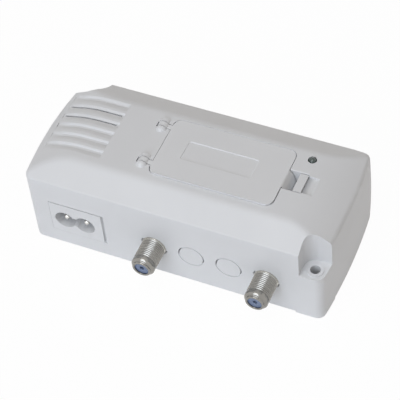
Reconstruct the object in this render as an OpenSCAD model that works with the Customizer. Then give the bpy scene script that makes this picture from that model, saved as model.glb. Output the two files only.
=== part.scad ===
// Mains-powered television signal amplifier in a moulded case: two threaded aerial sockets
// and a two-pin mains inlet on the front, a hinged flap over two adjusters on the top, and
// fixing ears in two opposite corners. Millimetres, +Z up, the front faces -Y.
// The origin is the centre of the underside.

/* [Case] */
// Length of the case over its bowed ends
case_len = 124.4; // [120:0.2:136]
// Depth of the case from front wall to back wall
case_depth = 55; // [54:0.5:62]
// Height of the flat top above the rim
case_h = 40.6; // [39:0.2:46]
// Height of the upright walls above the rim
wall_h = 35; // [33:0.5:37]
// Thickness of the case walls
wall_t = 2; // [1.6:0.1:2.4]
// How far the long bevels run in from the walls
bevel_run = 10.4; // [9:0.2:11]
// Length over which the top rolls down at each end
roll_run = 19.5; // [16:0.5:21]
// Bulge of each end wall
end_bow = 1.6; // [0.8:0.1:2.4]
// Radius of the upright corners
corner_r = 3.5; // [3:0.25:4.5]
// How far the base plate and the fixing ears stand below the rim
foot_h = 0.8; // [0.5:0.1:1.5]

/* [Fixing ears] */
// Width of the front corner notch, in from the end
ear_w = 10.4; // [9.8:0.2:11.4]
// Depth of the front corner notch, in from the wall
ear_d = 9.2; // [8.6:0.2:10]
// Radius inside the front corner notch
ear_round = 5; // [4:0.25:5.5]
// Width of the back corner notch, in from the end
back_ear_w = 13.8; // [12.6:0.2:14.4]
// Depth of the back corner notch, in from the wall
back_ear_d = 9.6; // [9.2:0.2:10]
// Radius inside the back corner notch
back_ear_round = 8.6; // [7.5:0.1:8.8]
// Height of the notch floors above the rim
ear_h = 23.2; // [20:0.2:26]
// Thickness of the notch floors
ear_t = 2.5; // [2:0.1:3.5]
// Radius of the fixing screw hole
ear_hole_r = 2; // [1.6:0.1:2.3]
// Distance of the hole from the end
ear_hole_end = 5.55; // [5.2:0.05:6]
// Distance of the hole from the wall
ear_hole_wall = 4.4; // [4.2:0.1:4.8]
// Radius of the raised ring round the hole
ear_ring_r = 3.2; // [2.9:0.1:3.5]
// Height of the raised ring
ear_ring_h = 0.5; // [0.3:0.1:0.8]

/* [Base] */
// Thickness of the base plate
base_t = 2.6; // [2.3:0.1:3]
// Gap between the base plate and the case wall
base_gap = 0.2; // [0.1:0.05:0.4]
// Radius of the screw bosses
boss_r = 3.2; // [2.8:0.1:3.6]
// Distance of the screw bosses from the ends
boss_end = 6.4; // [6:0.1:7]
// Distance of the screw bosses from the walls
boss_wall = 6.2; // [6:0.1:7]
// Shank radius of the base screws
screw_r = 1.45; // [1.2:0.05:1.6]
// Head radius of the base screws
screw_head_r = 2.7; // [2.4:0.1:3]
// Head height of the base screws
screw_head_h = 1.7; // [1.3:0.1:1.8]
// Length of the base screws under the head
screw_len = 12; // [8:0.5:16]
// How far the base screws' heads sit inside the underside
screw_sink = 0.2; // [0.1:0.05:0.4]
// Clearance of a screw's shank in its pilot hole
pilot_gap = 0.05; // [0.02:0.01:0.1]

/* [Louvres] */
// Number of louvre grooves
louvre_count = 6; // [3:1:6]
// Spacing of the louvre grooves
louvre_pitch = 5.05; // [4.6:0.05:5.4]
// Width of a groove at its mouth
louvre_w = 4; // [3.4:0.1:4.2]
// Width of a groove's floor
louvre_floor = 0.9; // [0.9:0.05:1.2]
// Run of a groove's steep back wall
louvre_back = 0.6; // [0.5:0.05:0.9]
// Run of the steeper part of a groove's front slope
louvre_steep = 1; // [0.8:0.1:1.2]
// Depth of the gentle part of a groove's front slope
louvre_ease = 0.3; // [0.2:0.05:0.4]
// Depth of a groove
louvre_depth = 0.85; // [0.7:0.05:1.1]
// Distance of the grooves' outer ends from the end of the case
louvre_end = 3.4; // [3:0.2:5]
// Distance of the grooves' inner ends from the end of the case
louvre_reach = 28; // [24:0.5:30]
// Width of the slits through two of the grooves
louvre_slit = 0.6; // [0.5:0.1:0.7]
// How far the slits stop short of the ends of their grooves
slit_short = 1.2; // [0.8:0.1:2]
// Place of the middle of the grooves, back from the case's middle
louvre_y = 1.15; // [-1:0.05:2]

/* [Flap] */
// Length of the flap
flap_len = 50; // [46:0.5:52]
// Width of the flap
flap_w = 28.2; // [26:0.2:29]
// Thickness of the flap
flap_t = 1.8; // [1.4:0.1:2.2]
// Corner radius of the flap
flap_r = 3; // [2:0.25:4]
// Distance of the flap's free edge from the right end
flap_end = 26.4; // [25:0.2:28]
// Place of the flap's middle, back from the case's middle
flap_y = 0.7; // [0:0.1:1]
// Gap round the flap
flap_gap = 0.35; // [0.25:0.05:0.5]
// Gap between the flap and the ledge under it
flap_rest = 0.15; // [0.1:0.05:0.3]
// Width of the ledge under the flap's edge
ledge_w = 1.6; // [1.2:0.1:2]
// Length of the sunk panel in the flap
panel_len = 28.5; // [20:0.5:32]
// Width of the sunk panel in the flap
panel_w = 9.3; // [7:0.1:11]
// Depth of the sunk panel
panel_sink = 0.35; // [0.2:0.05:0.6]
// Corner radius of the sunk panel
panel_r = 0.6; // [0.4:0.1:1.5]
// Distance of the panel's middle from the flap's hinged edge
panel_x = 23.5; // [21:0.5:27]
// Place of the panel's middle, back from the flap's middle
panel_y = 0.45; // [-2:0.05:2]
// Depth of the well under the flap, below the top
well_depth = 9; // [8.6:0.2:11]
// Thickness of the well's walls and floor
well_t = 1.4; // [1.2:0.1:1.8]

/* [Hinge] */
// Distance of the hinge axis beyond the flap's edge
hinge_out = 3.8; // [3.4:0.1:4.4]
// Depth of the hinge axis below the top
hinge_sink = 0.9; // [0.8:0.05:1.1]
// Radius of the hinge knuckles
knuckle_r = 2.2; // [2:0.1:2.4]
// Width of the flap's knuckle
knuckle_w = 2; // [1.6:0.1:2.4]
// Width of the rear lug of a hinge
lug_w = 1.4; // [1.2:0.1:1.8]
// Width of the domed front lug of a hinge
dome_w = 2.6; // [2.5:0.1:3.6]
// Distance of each hinge from the flap's middle
knuckle_y = 9.4; // [8:0.1:9.8]
// Radius of the hinge pins
pin_r = 0.9; // [0.7:0.05:1.1]
// Length of the hinge pins
pin_len = 1; // [0.8:0.05:1.1]
// Running clearance of the hinge pins
pin_gap = 0.06; // [0.03:0.01:0.1]
// Clearance beside and under the knuckles
knuckle_gap = 0.3; // [0.25:0.05:0.4]

/* [Latch] */
// Width of the spring latch
latch_w = 8.6; // [7:0.2:10]
// Place of the latch's middle, back from the flap's middle
latch_y = 0.2; // [-2:0.1:1.5]
// Depth of the spring's bend below the top
latch_sink = 6.2; // [5.6:0.1:6.4]
// Distance from the flap's edge to the spring's bend
latch_bend = 3.6; // [3.2:0.1:4]
// Distance from the flap's edge to the thumb tab
latch_out = 4.6; // [4.2:0.1:5]
// Width of the thumb tab's top
tab_w = 3; // [2.4:0.1:3.4]
// Thickness of the spring's web
web_t = 1.3; // [1:0.1:1.4]
// Distance from the start of the web's bend to the flap's edge
web_ease = 0.4; // [0.2:0.1:0.8]
// Radius of the spring's heel
heel_r = 1; // [0.8:0.05:1.1]
// Running clearance of the heel in its seat
heel_gap = 0.06; // [0.03:0.01:0.1]
// Gap round the thumb tab
tab_gap = 0.45; // [0.4:0.05:0.6]
// How far the thumb tab's top sits below the top
tab_sink = 0.2; // [0.1:0.05:0.4]
// Length of the finger ramp beside the tab
ramp_run = 5.6; // [4:0.2:6.4]
// Depth of the finger ramp at the tab
ramp_sink = 2.4; // [1.6:0.1:2.8]

/* [Mains inlet] */
// Distance of the inlet's middle from the left end
inlet_end = 20.6; // [20.4:0.1:22]
// Height of the inlet's middle above the rim
inlet_h = 14.4; // [14:0.1:15]
// Width of the inlet's front plate
plate_w = 22.2; // [21:0.2:22.8]
// Height of the inlet's front plate
plate_h = 16.4; // [15.4:0.2:17]
// Height of the front plate's middle above the inlet's middle
plate_rise = 1; // [0.4:0.1:1.4]
// Shift of the front plate's middle from the inlet's middle
plate_shift = 0.8; // [0.4:0.1:1]
// Gap left, above and below the front plate
plate_gap = 0.08; // [0.05:0.01:0.15]
// Gap right of the front plate, where it snaps in
snap_gap = 1.2; // [0.8:0.1:1.5]
// Depth of the snap lip behind the face of the wall
lip_sink = 1.2; // [1:0.1:1.4]
// How far the front plate sits behind the wall's face
plate_sink = 0.1; // [0.05:0.05:0.4]
// Distance between the two contact pins
pin_pitch = 8.6; // [8.2:0.1:8.8]
// Radius of the contact pins
contact_r = 1.2; // [1:0.05:1.4]
// Radius of each lobe of the socket
lobe_r = 4.2; // [4.1:0.05:4.4]
// Height of the waist between the lobes
waist_h = 4.6; // [4.4:0.1:5.2]
// Depth of the socket
socket_depth = 11; // [9:0.5:12]
// How far the pin tips sit behind the front plate
pin_recess = 1; // [0.6:0.1:2]
// Thickness of the socket's walls
socket_t = 1.4; // [1.2:0.1:1.6]
// Clearance of the contact pins in the socket's back
contact_gap = 0.05; // [0.02:0.01:0.1]
// Radius of the contact pins' solder legs
leg_r = 0.7; // [0.5:0.05:0.9]

/* [Aerial sockets] */
// Distance of the right socket from the right end
f_end = 23.7; // [22.5:0.1:26]
// Spacing of the sockets and knock-outs along the front
f_pitch = 15.4; // [15:0.1:15.8]
// Height of the sockets above the rim
f_h = 15; // [14.4:0.1:16]
// Radius over the thread
thread_r = 4.76; // [4.6:0.02:4.9]
// Length of the barrel in front of the wall
f_len = 12; // [10:0.5:14]
// Depth of the relief that ends the thread
neck_step = 0.5; // [0.4:0.05:0.55]
// How far the relief starts in front of the wall
neck_out = 0.2; // [0.15:0.05:0.4]
// Clearance of the thread in the wall's hole
hole_gap = 0.2; // [0.15:0.05:0.3]
// Radius of the flange behind the wall
flange_r = 6; // [5.6:0.1:6.3]
// Thickness of the flange
flange_t = 1.2; // [1:0.1:1.5]
// Gap between the wall and the flange
flange_gap = 0.1; // [0.05:0.05:0.2]
// Radius of the barrel's bore
f_bore_r = 3.3; // [3:0.05:3.5]
// Radius of the smooth lip at the tip
lip_r = 4.25; // [4.1:0.05:4.4]
// Length of the smooth lip
lip_len = 0.9; // [0.6:0.1:1.4]
// How far the insulator sits behind the tip
insulator_sink = 0.6; // [0.4:0.1:1]
// Radius of the insulator's hole
insulator_hole_r = 0.9; // [0.85:0.05:1.1]
// Clearance of the insulator in the barrel, and of the contact in the insulator
insulator_gap = 0.04; // [0.02:0.01:0.08]
// How far the contact tube sits behind the insulator's face
tube_sink = 1.2; // [0.8:0.1:2]
// Radius of the contact tube's bore
tube_bore_r = 0.5; // [0.4:0.05:0.6]
// Radius of the contact's tail
tail_r = 0.55; // [0.4:0.05:0.7]
// How far the contact reaches into the can
contact_reach = 3; // [2:0.25:5]
// Step from the thread's radius in to the spigot through the can
spigot_step = 0.6; // [0.4:0.05:0.9]
// Clearance of the spigot in the can
spigot_fit = 0.05; // [0.02:0.01:0.1]
// Radius of the knock-out discs
knock_r = 5.1; // [4.6:0.1:5.4]
// Width of the groove round the knock-outs
knock_slit = 0.5; // [0.45:0.05:0.7]
// Width of the slits through the bottom of that groove
knock_cut = 0.35; // [0.2:0.05:0.4]
// Depth of the blind groove round the knock-outs
knock_depth = 0.4; // [0.3:0.05:0.8]
// Sweep of each stretch of the knock-outs' slits that is cut through, in degrees
knock_arc = 55; // [40:5:90]
// Turn of the left stretch, upwards from level, in degrees
knock_turn = 15; // [0:5:40]
// How far the notches beside the aerial sockets reach past their threads
notch_out = 1.1; // [0.7:0.1:1.4]
// Height of the notches beside the aerial sockets
notch_h = 2.2; // [1.4:0.1:3]

/* [Circuit board] */
// Height of the board's underside above the base plate
board_rise = 4; // [3.6:0.1:4.4]
// Thickness of the board
board_t = 1.6; // [1.2:0.1:2]
// Gap between the board and the case walls
board_gap = 1.2; // [0.8:0.1:1.6]
// Radius of the board's standoffs
standoff_r = 2.6; // [2.4:0.1:3]
// Distance of the standoffs from the board's ends
standoff_end = 3.6; // [3.2:0.1:4.2]
// Distance of the standoffs from the case's middle
standoff_y = 10; // [8:0.25:11]
// Clearance of the board screws in the board
board_hole_gap = 0.2; // [0.1:0.05:0.3]
// Shank radius of the board screws
board_screw_r = 1.1; // [0.9:0.05:1.3]
// Head radius of the board screws
board_head_r = 2.1; // [1.9:0.1:2.4]
// Head height of the board screws
board_head_h = 1.4; // [1:0.1:1.8]
// Length of the board screws under the head
board_screw_len = 5; // [4:0.25:5.4]
// Depth of the standoffs' pilot holes below the top of the base plate
pilot_floor = 1; // [0.6:0.1:1.2]

/* [Screening can] */
// Width of the can beyond the outer sockets' axes
can_side = 6.4; // [5.8:0.1:7.5]
// Height of the can above the board
can_h = 15; // [14:0.25:16]
// Depth of the can, front to back
can_depth = 28; // [26:0.5:31]
// Thickness of the can's sheet
can_t = 0.6; // [0.4:0.05:0.8]
// Gap between the front wall and the can
can_gap = 2.4; // [2:0.1:3]
// Depth of the lid's turned-down rim
lid_skirt = 2; // [1:0.25:2.25]
// Gap between the lid's rim and the can
lid_gap = 0.1; // [0.05:0.05:0.2]

/* [Adjusters] */
// Distance between the two adjusters
adjust_pitch = 22; // [18:0.5:24]
// Place of the adjusters, back from the flap's middle
adjust_y = -4; // [-6:0.25:-2]
// Size of the adjuster's square body
adjust_size = 7; // [6:0.25:8]
// Height of the adjuster's body
adjust_h = 5; // [4:0.25:6]
// Radius of the adjuster's shaft
shaft_r = 2.4; // [2:0.1:2.8]
// Gap round the shaft where it passes the lid and the well
shaft_gap = 0.4; // [0.3:0.05:0.6]
// How far the shaft stands above the well's floor
shaft_up = 1; // [0.6:0.1:1.6]
// Width of the screwdriver slot
slot_w = 0.8; // [0.6:0.1:1.2]
// Depth of the screwdriver slot
slot_depth = 0.9; // [0.6:0.1:1.4]
// Radius of the shaft's spigot in the body
spigot_r = 1.5; // [1.2:0.05:1.8]
// Length of the spigot
spigot_len = 3; // [2:0.25:3.6]
// Running clearance of the spigot
spigot_gap = 0.05; // [0.02:0.01:0.1]
// Gap between the shaft's shoulder and the body
shoulder_gap = 0.3; // [0.2:0.05:0.5]

/* [Power supply] */
// Shift of the transformer's middle from the inlet's middle
core_shift = 2; // [0:0.25:3]
// Place of the transformer's middle, back from the case's middle
core_y = 8.7; // [7:0.1:9]
// Room between the parts of the power supply
part_gap = 1.4; // [0.6:0.1:1.6]
// Width of the transformer's core
core_w = 20; // [18:0.5:22]
// Height of the transformer's core
core_h = 17; // [15:0.5:19]
// Thickness of the transformer's core
core_t = 6; // [5:0.25:7]
// Width of the core's centre leg
core_leg = 5; // [4:0.25:6]
// Thickness of the core's outer legs and yokes
core_yoke = 3; // [2.5:0.25:3.5]
// Depth of the transformer's winding, front to back
coil_depth = 15; // [13:0.5:17]
// Gap between the winding and the core
coil_gap = 0.25; // [0.15:0.05:0.4]
// Radius of the winding's corners
coil_round = 2; // [1:0.25:3]
// Radius of the reservoir capacitor
reservoir_r = 5; // [4:0.25:5.5]
// Height of the reservoir capacitor
reservoir_h = 16; // [12:0.5:20]
// Height of the capacitors' seals below their rolled grooves
seal_h = 1.8; // [1.2:0.1:2.4]
// Depth of the capacitors' rolled grooves
can_groove = 0.5; // [0.3:0.05:0.7]
// Radius of the output capacitor
output_r = 4; // [3:0.25:4.5]
// Height of the output capacitor
output_h = 11.5; // [9:0.5:14]
// Length of the mains capacitor
film_len = 13; // [11:0.5:14]
// Width of the mains capacitor
film_w = 6; // [5:0.25:7]
// Height of the mains capacitor
film_h = 11; // [9:0.5:13]
// Radius of the mains capacitor's corners
film_r = 1; // [0.6:0.1:2]
// Shift of the mains capacitor from the inlet's middle
film_shift = 2; // [0:0.25:3]
// Radius of the fuse
fuse_r = 4.1; // [3.6:0.1:4.4]
// Bevel of the fuse's cap
fuse_bevel = 0.4; // [0.2:0.05:0.8]
// Height of the fuse
fuse_h = 7.5; // [6:0.25:9]

/* [Indicator] */
// Radius of the indicator lamp
led_r = 1.75; // [1.5:0.05:2]
// Gap round the lamp in the top
led_gap = 0.15; // [0.1:0.05:0.3]
// How far the lamp's dome stands above the top
led_up = 0.7; // [0.4:0.1:1.2]
// Length of the lamp
led_len = 5; // [4:0.25:6]
// Radius of the lamp's flange
led_flange_r = 2.25; // [2.2:0.05:2.4]
// Height of the lamp's flange
led_flange_h = 1; // [0.6:0.1:1.2]
// Radius of the lamp's spacer
spacer_r = 2.6; // [2.4:0.1:3]
// Clearance of the leads in the spacer
lead_gap = 0.1; // [0.05:0.05:0.2]
// Radius of the lamp's leads
lead_r = 0.25; // [0.2:0.05:0.35]
// Distance between the lamp's leads
lead_pitch = 2.5; // [2:0.1:2.6]
// Distance of the lamp from the right end
led_end = 19.9; // [19:0.1:21]
// Place of the lamp, back from the case's middle
led_y = 12.9; // [12:0.1:13.4]

/* [Hidden] */

$fn = 64;
// Facets of the large, shallow arcs
wide_fn = 720;
// Steps along each bowed end and round each upright corner
bow_steps = 16;
corner_steps = 8;
// Steps along the bend of the latch's web
bend_steps = 10;
// Smallest radius of an outline's corner
least_r = 0.5;
// Overshoot of the cutting solids
over = 1;

half_len = case_len / 2;
half_depth = case_depth / 2;
rim_z = foot_h;
wall_z = rim_z + wall_h;
top_z = rim_z + case_h;
front_y = -half_depth;
inner_front = front_y + wall_t;

// The end walls are arcs, and the top's roll is an arc from the wall's height to the top
bow_r = (pow(half_depth, 2) + pow(end_bow, 2)) / (2 * end_bow);
bow_x = half_len - bow_r;
roll_drop = case_h - wall_h;
roll_r = (pow(roll_run, 2) + pow(roll_drop, 2)) / (2 * roll_drop);
roll_x = half_len - roll_run;
roll_z = top_z - roll_r;
louvre_foot = louvre_w / 2 - louvre_back - louvre_floor / 2;
bevel_angle = atan2(roll_drop, bevel_run);

// Turn, width, depth and inner radius of the two corner notches
EARS = [[0, ear_w, ear_d, ear_round], [180, back_ear_w, back_ear_d, back_ear_round]];
ear_x = half_len - ear_hole_end;
ear_y = front_y + ear_hole_wall;
ear_z = rim_z + ear_h;
boss_x = half_len - boss_end;
boss_y = half_depth - boss_wall;

board_z = base_t + board_rise;
board_top = board_z + board_t;
board_half_x = half_len - end_bow - wall_t - board_gap;
board_half_y = half_depth - wall_t - board_gap;

flap_right = half_len - flap_end;
flap_left = flap_right - flap_len;
hinge_x = flap_left - hinge_out;
hinge_z = top_z - hinge_sink;
flap_z = top_z - flap_t;
rebate_z = flap_z - flap_rest;
well_z = top_z - well_depth;
bend_x = flap_right + latch_bend;
bend_z = top_z - latch_sink;
tab_left = flap_right + latch_out;
tab_right = tab_left + tab_w;
slot_right = tab_right + tab_gap;
latch_mid = flap_y + latch_y;
slot_half = latch_w / 2 + tab_gap;

inlet_x = -half_len + inlet_end;
inlet_z = rim_z + inlet_h;
plate_x = inlet_x + plate_shift;
plate_z = inlet_z + plate_rise;
plate_y = front_y + plate_sink;
socket_back = plate_y + socket_depth;
box_half = pin_pitch / 2 + lobe_r + socket_t;
pin_tail = socket_back + socket_t + 2 * contact_r;

f_z = rim_z + f_h;
f_right_x = half_len - f_end;
f_x = f_right_x - 3 * f_pitch;
can_front = inner_front + can_gap;
can_left = f_x - can_side;
can_right = f_right_x + can_side;
can_top = board_top + can_h;
can_back = can_front + can_depth;
lid_back = can_back + lid_gap + can_t;
contact_y = can_front + can_t + contact_reach;
spigot_out_r = thread_r - spigot_step;

adjust_x = (flap_left + flap_right) / 2;
adjuster_y = flap_y + adjust_y;
gain_x = adjust_x - adjust_pitch / 2;
slope_x = adjust_x + adjust_pitch / 2;
adjust_top = board_top + adjust_h;

core_x = inlet_x + core_shift;
reservoir_x = can_left + reservoir_r;
output_x = reservoir_x + reservoir_r + part_gap + output_r;
film_x = inlet_x - film_shift;
fuse_x = film_x + film_len / 2 + part_gap + fuse_r;

led_x = half_len - led_end;
led_seat = top_z + led_up - led_len;

white = "#d5d7da";
grey_white = "#cfd1d4";
nickel = "#b5b0a6";
tin = "#b9bcc0";
blue = "#3f62a8";
brass = "#b08d4a";
sleeve = "#2b2f3a";

// Points along an arc, at an even step
function arc(x, y, r, from, to, steps) =
    [for (i = [0 : steps]) let (a = from + (to - from) * i / steps) [x + r * cos(a), y + r * sin(a)]];

// Points along an upright oval arc
function bend(x, z, wide, high, from, to) = [
    for (i = [0 : bend_steps])
        let (a = from + (to - from) * i / bend_steps)
            [x + wide * cos(a), z + high * sin(a)]
];

// Outline of the case seen from above, with bowed ends and round corners, set in by inset
module plan(inset) {
    r = max(corner_r - inset, least_r);
    big = bow_r - inset;
    fillet_y = half_depth - inset - r;
    fillet_x = bow_x + sqrt(pow(big - r, 2) - pow(fillet_y, 2));
    swing = atan2(fillet_y, fillet_x - bow_x);
    bow_step = 2 * swing / bow_steps;
    right = concat(
        arc(fillet_x, -fillet_y, r, -90, -swing, corner_steps),
        arc(bow_x, 0, big, bow_step - swing, swing - bow_step, bow_steps - 2),
        arc(fillet_x, fillet_y, r, swing, 90, corner_steps)
    );
    polygon(concat(right, -right));
}

// Outline of the case seen from the front, with the rolled ends of the top
module roll_profile(inset, low) {
    translate([-roll_x, low])
        square([2 * roll_x, top_z - inset - low]);
    for (turn = [0, 1]) {
        mirror([turn, 0]) {
            intersection() {
                translate([roll_x, roll_z])
                    circle(roll_r - inset, $fn = wide_fn);
                translate([roll_x - over, low])
                    square([roll_run + over + corner_r, case_h + over - low]);
            }
            translate([roll_x - over, low])
                square([over + min(roll_run + corner_r, roll_r - inset), max(roll_z - low, least_r)]);
        }
    }
}

// Outline of the case seen from the end, with the two long bevels
module bevel_profile(inset, low) {
    y = half_depth - inset;
    shoulder = wall_z - inset * (1 - sin(bevel_angle)) / cos(bevel_angle);
    flat = half_depth - bevel_run - inset * (1 - cos(bevel_angle)) / sin(bevel_angle);
    high = top_z - inset;
    polygon([[-y, low], [y, low], [y, shoulder], [flat, high], [-flat, high], [-y, shoulder]]);
}

// Solid form of the case from the height low upwards, set in by inset
module case_form(inset, low) {
    intersection() {
        translate([0, 0, low])
            linear_extrude(case_h + foot_h + over)
                plan(inset);
        rotate([90, 0, 0])
            linear_extrude(case_depth + over, center = true)
                roll_profile(inset, low);
        rotate([90, 0, 90])
            linear_extrude(case_len + over, center = true)
                bevel_profile(inset, low);
    }
}

// Plan of a corner notch in the front right corner, grown outwards from its walls
module ear_plan(ear, grow) {
    r = ear[3] + grow;
    left = half_len - ear[1] - grow;
    back = front_y + ear[2] + grow;
    out = corner_r + over;
    translate([left + r, back - r])
        circle(r);
    translate([left, front_y - out])
        square([half_len + out - left, back - r - front_y + out]);
    translate([left + r, front_y - out])
        square([half_len + out - left - r, back - front_y + out]);
}

// Plans of both corner notches, which lie in opposite corners
module ear_plans(grow) {
    for (ear = EARS)
        rotate([0, 0, ear[0]])
            ear_plan(ear, grow);
}

// Places a child at both screw bosses, in the corners without ears
module at_bosses() {
    for (turn = [0, 180])
        rotate([0, 0, turn])
            translate([boss_x, boss_y, 0])
                children();
}

// Rectangle with round corners, centred
module round_rect(length, width, r) {
    square([length - 2 * r, width], center = true);
    square([length, width - 2 * r], center = true);
    for (x = [-1, 1], y = [-1, 1])
        translate([x * (length / 2 - r), y * (width / 2 - r)])
            circle(r);
}

// Flap outline grown by a gap, as a solid between two heights
module flap_slab(grow, low, high) {
    translate([flap_left + flap_len / 2, flap_y, low])
        linear_extrude(high - low)
            round_rect(flap_len + 2 * grow, flap_w + 2 * grow, max(flap_r + grow, least_r));
}

// Rod along Y between two places
module rod_y(x, z, r, from, to) {
    translate([x, from, z])
        rotate([-90, 0, 0])
            cylinder(h = to - from, r = r);
}

// Round rod along Z with a domed top, the dome centred on the origin
module domed_rod(r, straight) {
    rotate_extrude() {
        intersection() {
            circle(r);
            square(r);
        }
        translate([0, -straight])
            square([r, straight]);
    }
}

// Box given by its two opposite corners
module block(low, high) {
    translate(low)
        cube(high - low);
}

// Walls, floor, foot and screw tube of one fixing ear
module ear_column(ear) {
    difference() {
        linear_extrude(top_z)
            ear_plan(ear, wall_t);
        translate([0, 0, -over])
            linear_extrude(ear_z - ear_t + over)
                intersection() {
                    ear_plan(ear, 0);
                    plan(wall_t);
                }
    }
    translate([ear_x, ear_y, 0])
        cylinder(h = ear_z, r = ear_ring_r);
}

// Notch above the ear's floor, leaving the raised ring, and the screw hole
module ear_cut(ear) {
    difference() {
        translate([0, 0, ear_z])
            linear_extrude(case_h)
                ear_plan(ear, 0);
        translate([ear_x, ear_y, ear_z - over])
            cylinder(h = ear_ring_h + over, r = ear_ring_r);
    }
    translate([ear_x, ear_y, -over])
        cylinder(h = top_z + 2 * over, r = ear_hole_r);
}

// Section of a louvre groove with a steep back wall and a front slope that eases out, its mouth at
// a given radius or height. The slopes run on above the mouth.
module louvre_section(mouth) {
    gentle = louvre_w - louvre_back - louvre_floor - louvre_steep;
    heel = louvre_foot - louvre_floor / 2;
    back = louvre_back * (louvre_depth + over) / louvre_depth;
    front = gentle * (louvre_ease + over) / louvre_ease;
    low = mouth - louvre_depth;
    polygon([
        [low, heel], [low, heel + louvre_floor],
        [mouth + over, heel + louvre_floor + back], [mouth + over, heel - louvre_steep - front],
        [mouth - louvre_ease, heel - louvre_steep]
    ]);
}

// One louvre groove: straight along the flat of the top, then down its roll
module louvre_groove(y) {
    start_x = half_len - louvre_reach;
    end_angle = asin((roll_run - louvre_end) / roll_r);
    translate([-start_x, y, 0])
        rotate([0, -90, 0])
            linear_extrude(roll_x - start_x)
                louvre_section(top_z);
    translate([-roll_x, y, roll_z])
        rotate([90, -90, 0])
            rotate_extrude(angle = end_angle, $fn = wide_fn)
                mirror([0, 1])
                    louvre_section(roll_r);
}

// Slit through the wall along the bottom of a louvre groove
module louvre_slit_cut(y) {
    start_x = half_len - louvre_reach + slit_short;
    end_x = half_len - louvre_end - slit_short;
    translate([-end_x, y - louvre_slit / 2, wall_z - 2 * wall_t])
        cube([end_x - start_x, louvre_slit, case_h]);
}

// Grooves at an even pitch, two of them open to the inside
module louvre_cuts() {
    for (i = [0 : louvre_count - 1]) {
        y = louvre_y + (i - (louvre_count - 1) / 2) * louvre_pitch;
        louvre_groove(y);
        if (i == louvre_count - 2 || i == louvre_count - 3)
            louvre_slit_cut(y + louvre_foot);
    }
}

// Solid material that the top needs under the flap, its hinges, its latch and the finger ramp
module well_walls() {
    low = well_z - well_t;
    flap_slab(well_t, rebate_z - well_t, top_z);
    flap_slab(well_t - ledge_w, low, top_z);
    block([flap_right - ledge_w, latch_mid - slot_half - well_t, low],
        [slot_right + well_t, latch_mid + slot_half + well_t, top_z]);
    block([slot_right, latch_mid - slot_half - well_t, top_z - ramp_sink - well_t],
        [slot_right + ramp_run, latch_mid + slot_half + well_t, top_z]);
    for (side = [-1, 1]) {
        y = flap_y + side * knuckle_y;
        reach = knuckle_r + knuckle_gap + well_t;
        block([hinge_x - reach, y - knuckle_w / 2 - dome_w, hinge_z - reach],
            [flap_left + well_t, y + knuckle_w / 2 + lug_w + knuckle_gap, top_z]);
    }
}

// Rebate, well, latch slot, finger ramp, adjuster holes and hinge pockets in the top
module well_cuts() {
    flap_slab(flap_gap, rebate_z, top_z + over);
    flap_slab(-ledge_w, well_z, top_z + over);
    block([flap_right - ledge_w - flap_r, latch_mid - slot_half, well_z],
        [slot_right, latch_mid + slot_half, top_z + over]);
    translate([slot_right, latch_mid, top_z])
        rotate([90, 0, 0])
            linear_extrude(latch_w, center = true)
                polygon([
                    [-over, over], [ramp_run, over], [ramp_run, 0], [0, -ramp_sink], [-over, -ramp_sink]
                ]);
    for (x = [gain_x, slope_x])
        translate([x, adjuster_y, well_z - well_t - over])
            cylinder(h = well_t + 2 * over, r = shaft_r + shaft_gap);
    for (side = [-1, 1]) {
        y = flap_y + side * knuckle_y;
        half = knuckle_w / 2 + knuckle_gap;
        rod_y(hinge_x, hinge_z, knuckle_r + knuckle_gap, y - half, y + half);
        block([hinge_x, y - half, rebate_z], [flap_left + over, y + half, top_z + over]);
        block([hinge_x - knuckle_r - knuckle_gap, y - half, hinge_z],
            [flap_left, y + half, top_z + knuckle_r]);
        rod_y(hinge_x, hinge_z, pin_r + pin_gap, y - half - pin_len, y + half + pin_len);
    }
}

// Hinge lugs that stand above the top: a domed one in front of each knuckle and a disc behind
module hinge_lugs() {
    for (side = [-1, 1]) {
        y = flap_y + side * knuckle_y;
        half = knuckle_w / 2 + knuckle_gap;
        rod_y(hinge_x, hinge_z, knuckle_r, y + half, y + half + lug_w);
        translate([hinge_x, y - half - dome_w + knuckle_r, hinge_z])
            rotate([90, 0, 0])
                domed_rod(knuckle_r, dome_w - knuckle_r);
    }
}

// Window for the inlet's front plate with its snap gap, notched holes for the aerial sockets,
// and the break-out rings between them
module front_cuts() {
    block([plate_x - plate_w / 2 - plate_gap, front_y - over, plate_z - plate_h / 2 - plate_gap],
        [plate_x + plate_w / 2 + snap_gap, inner_front + over, plate_z + plate_h / 2 + plate_gap]);
    for (x = [f_x, f_right_x]) {
        rod_y(x, f_z, thread_r + hole_gap, front_y - over, inner_front + over);
        block([x - thread_r - notch_out, front_y - over, f_z - notch_h / 2],
            [x + thread_r + notch_out, inner_front + over, f_z + notch_h / 2]);
    }
    for (i = [1, 2])
        translate([f_x + i * f_pitch, front_y, f_z])
            knock_out();
}

// Break-out ring: a blind groove all round, with two stretches cut through
module knock_out() {
    rotate([-90, 0, 0]) {
        difference() {
            translate([0, 0, -over])
                cylinder(h = knock_depth + over, r = knock_r + knock_slit / 2);
            translate([0, 0, -2 * over])
                cylinder(h = knock_depth + 3 * over, r = knock_r - knock_slit / 2);
        }
        for (middle = [0, 180 + knock_turn])
            rotate([0, 0, middle - knock_arc / 2])
                rotate_extrude(angle = knock_arc)
                    translate([knock_r - knock_cut / 2, 0])
                        square([knock_cut, wall_t + over]);
    }
}

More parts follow.
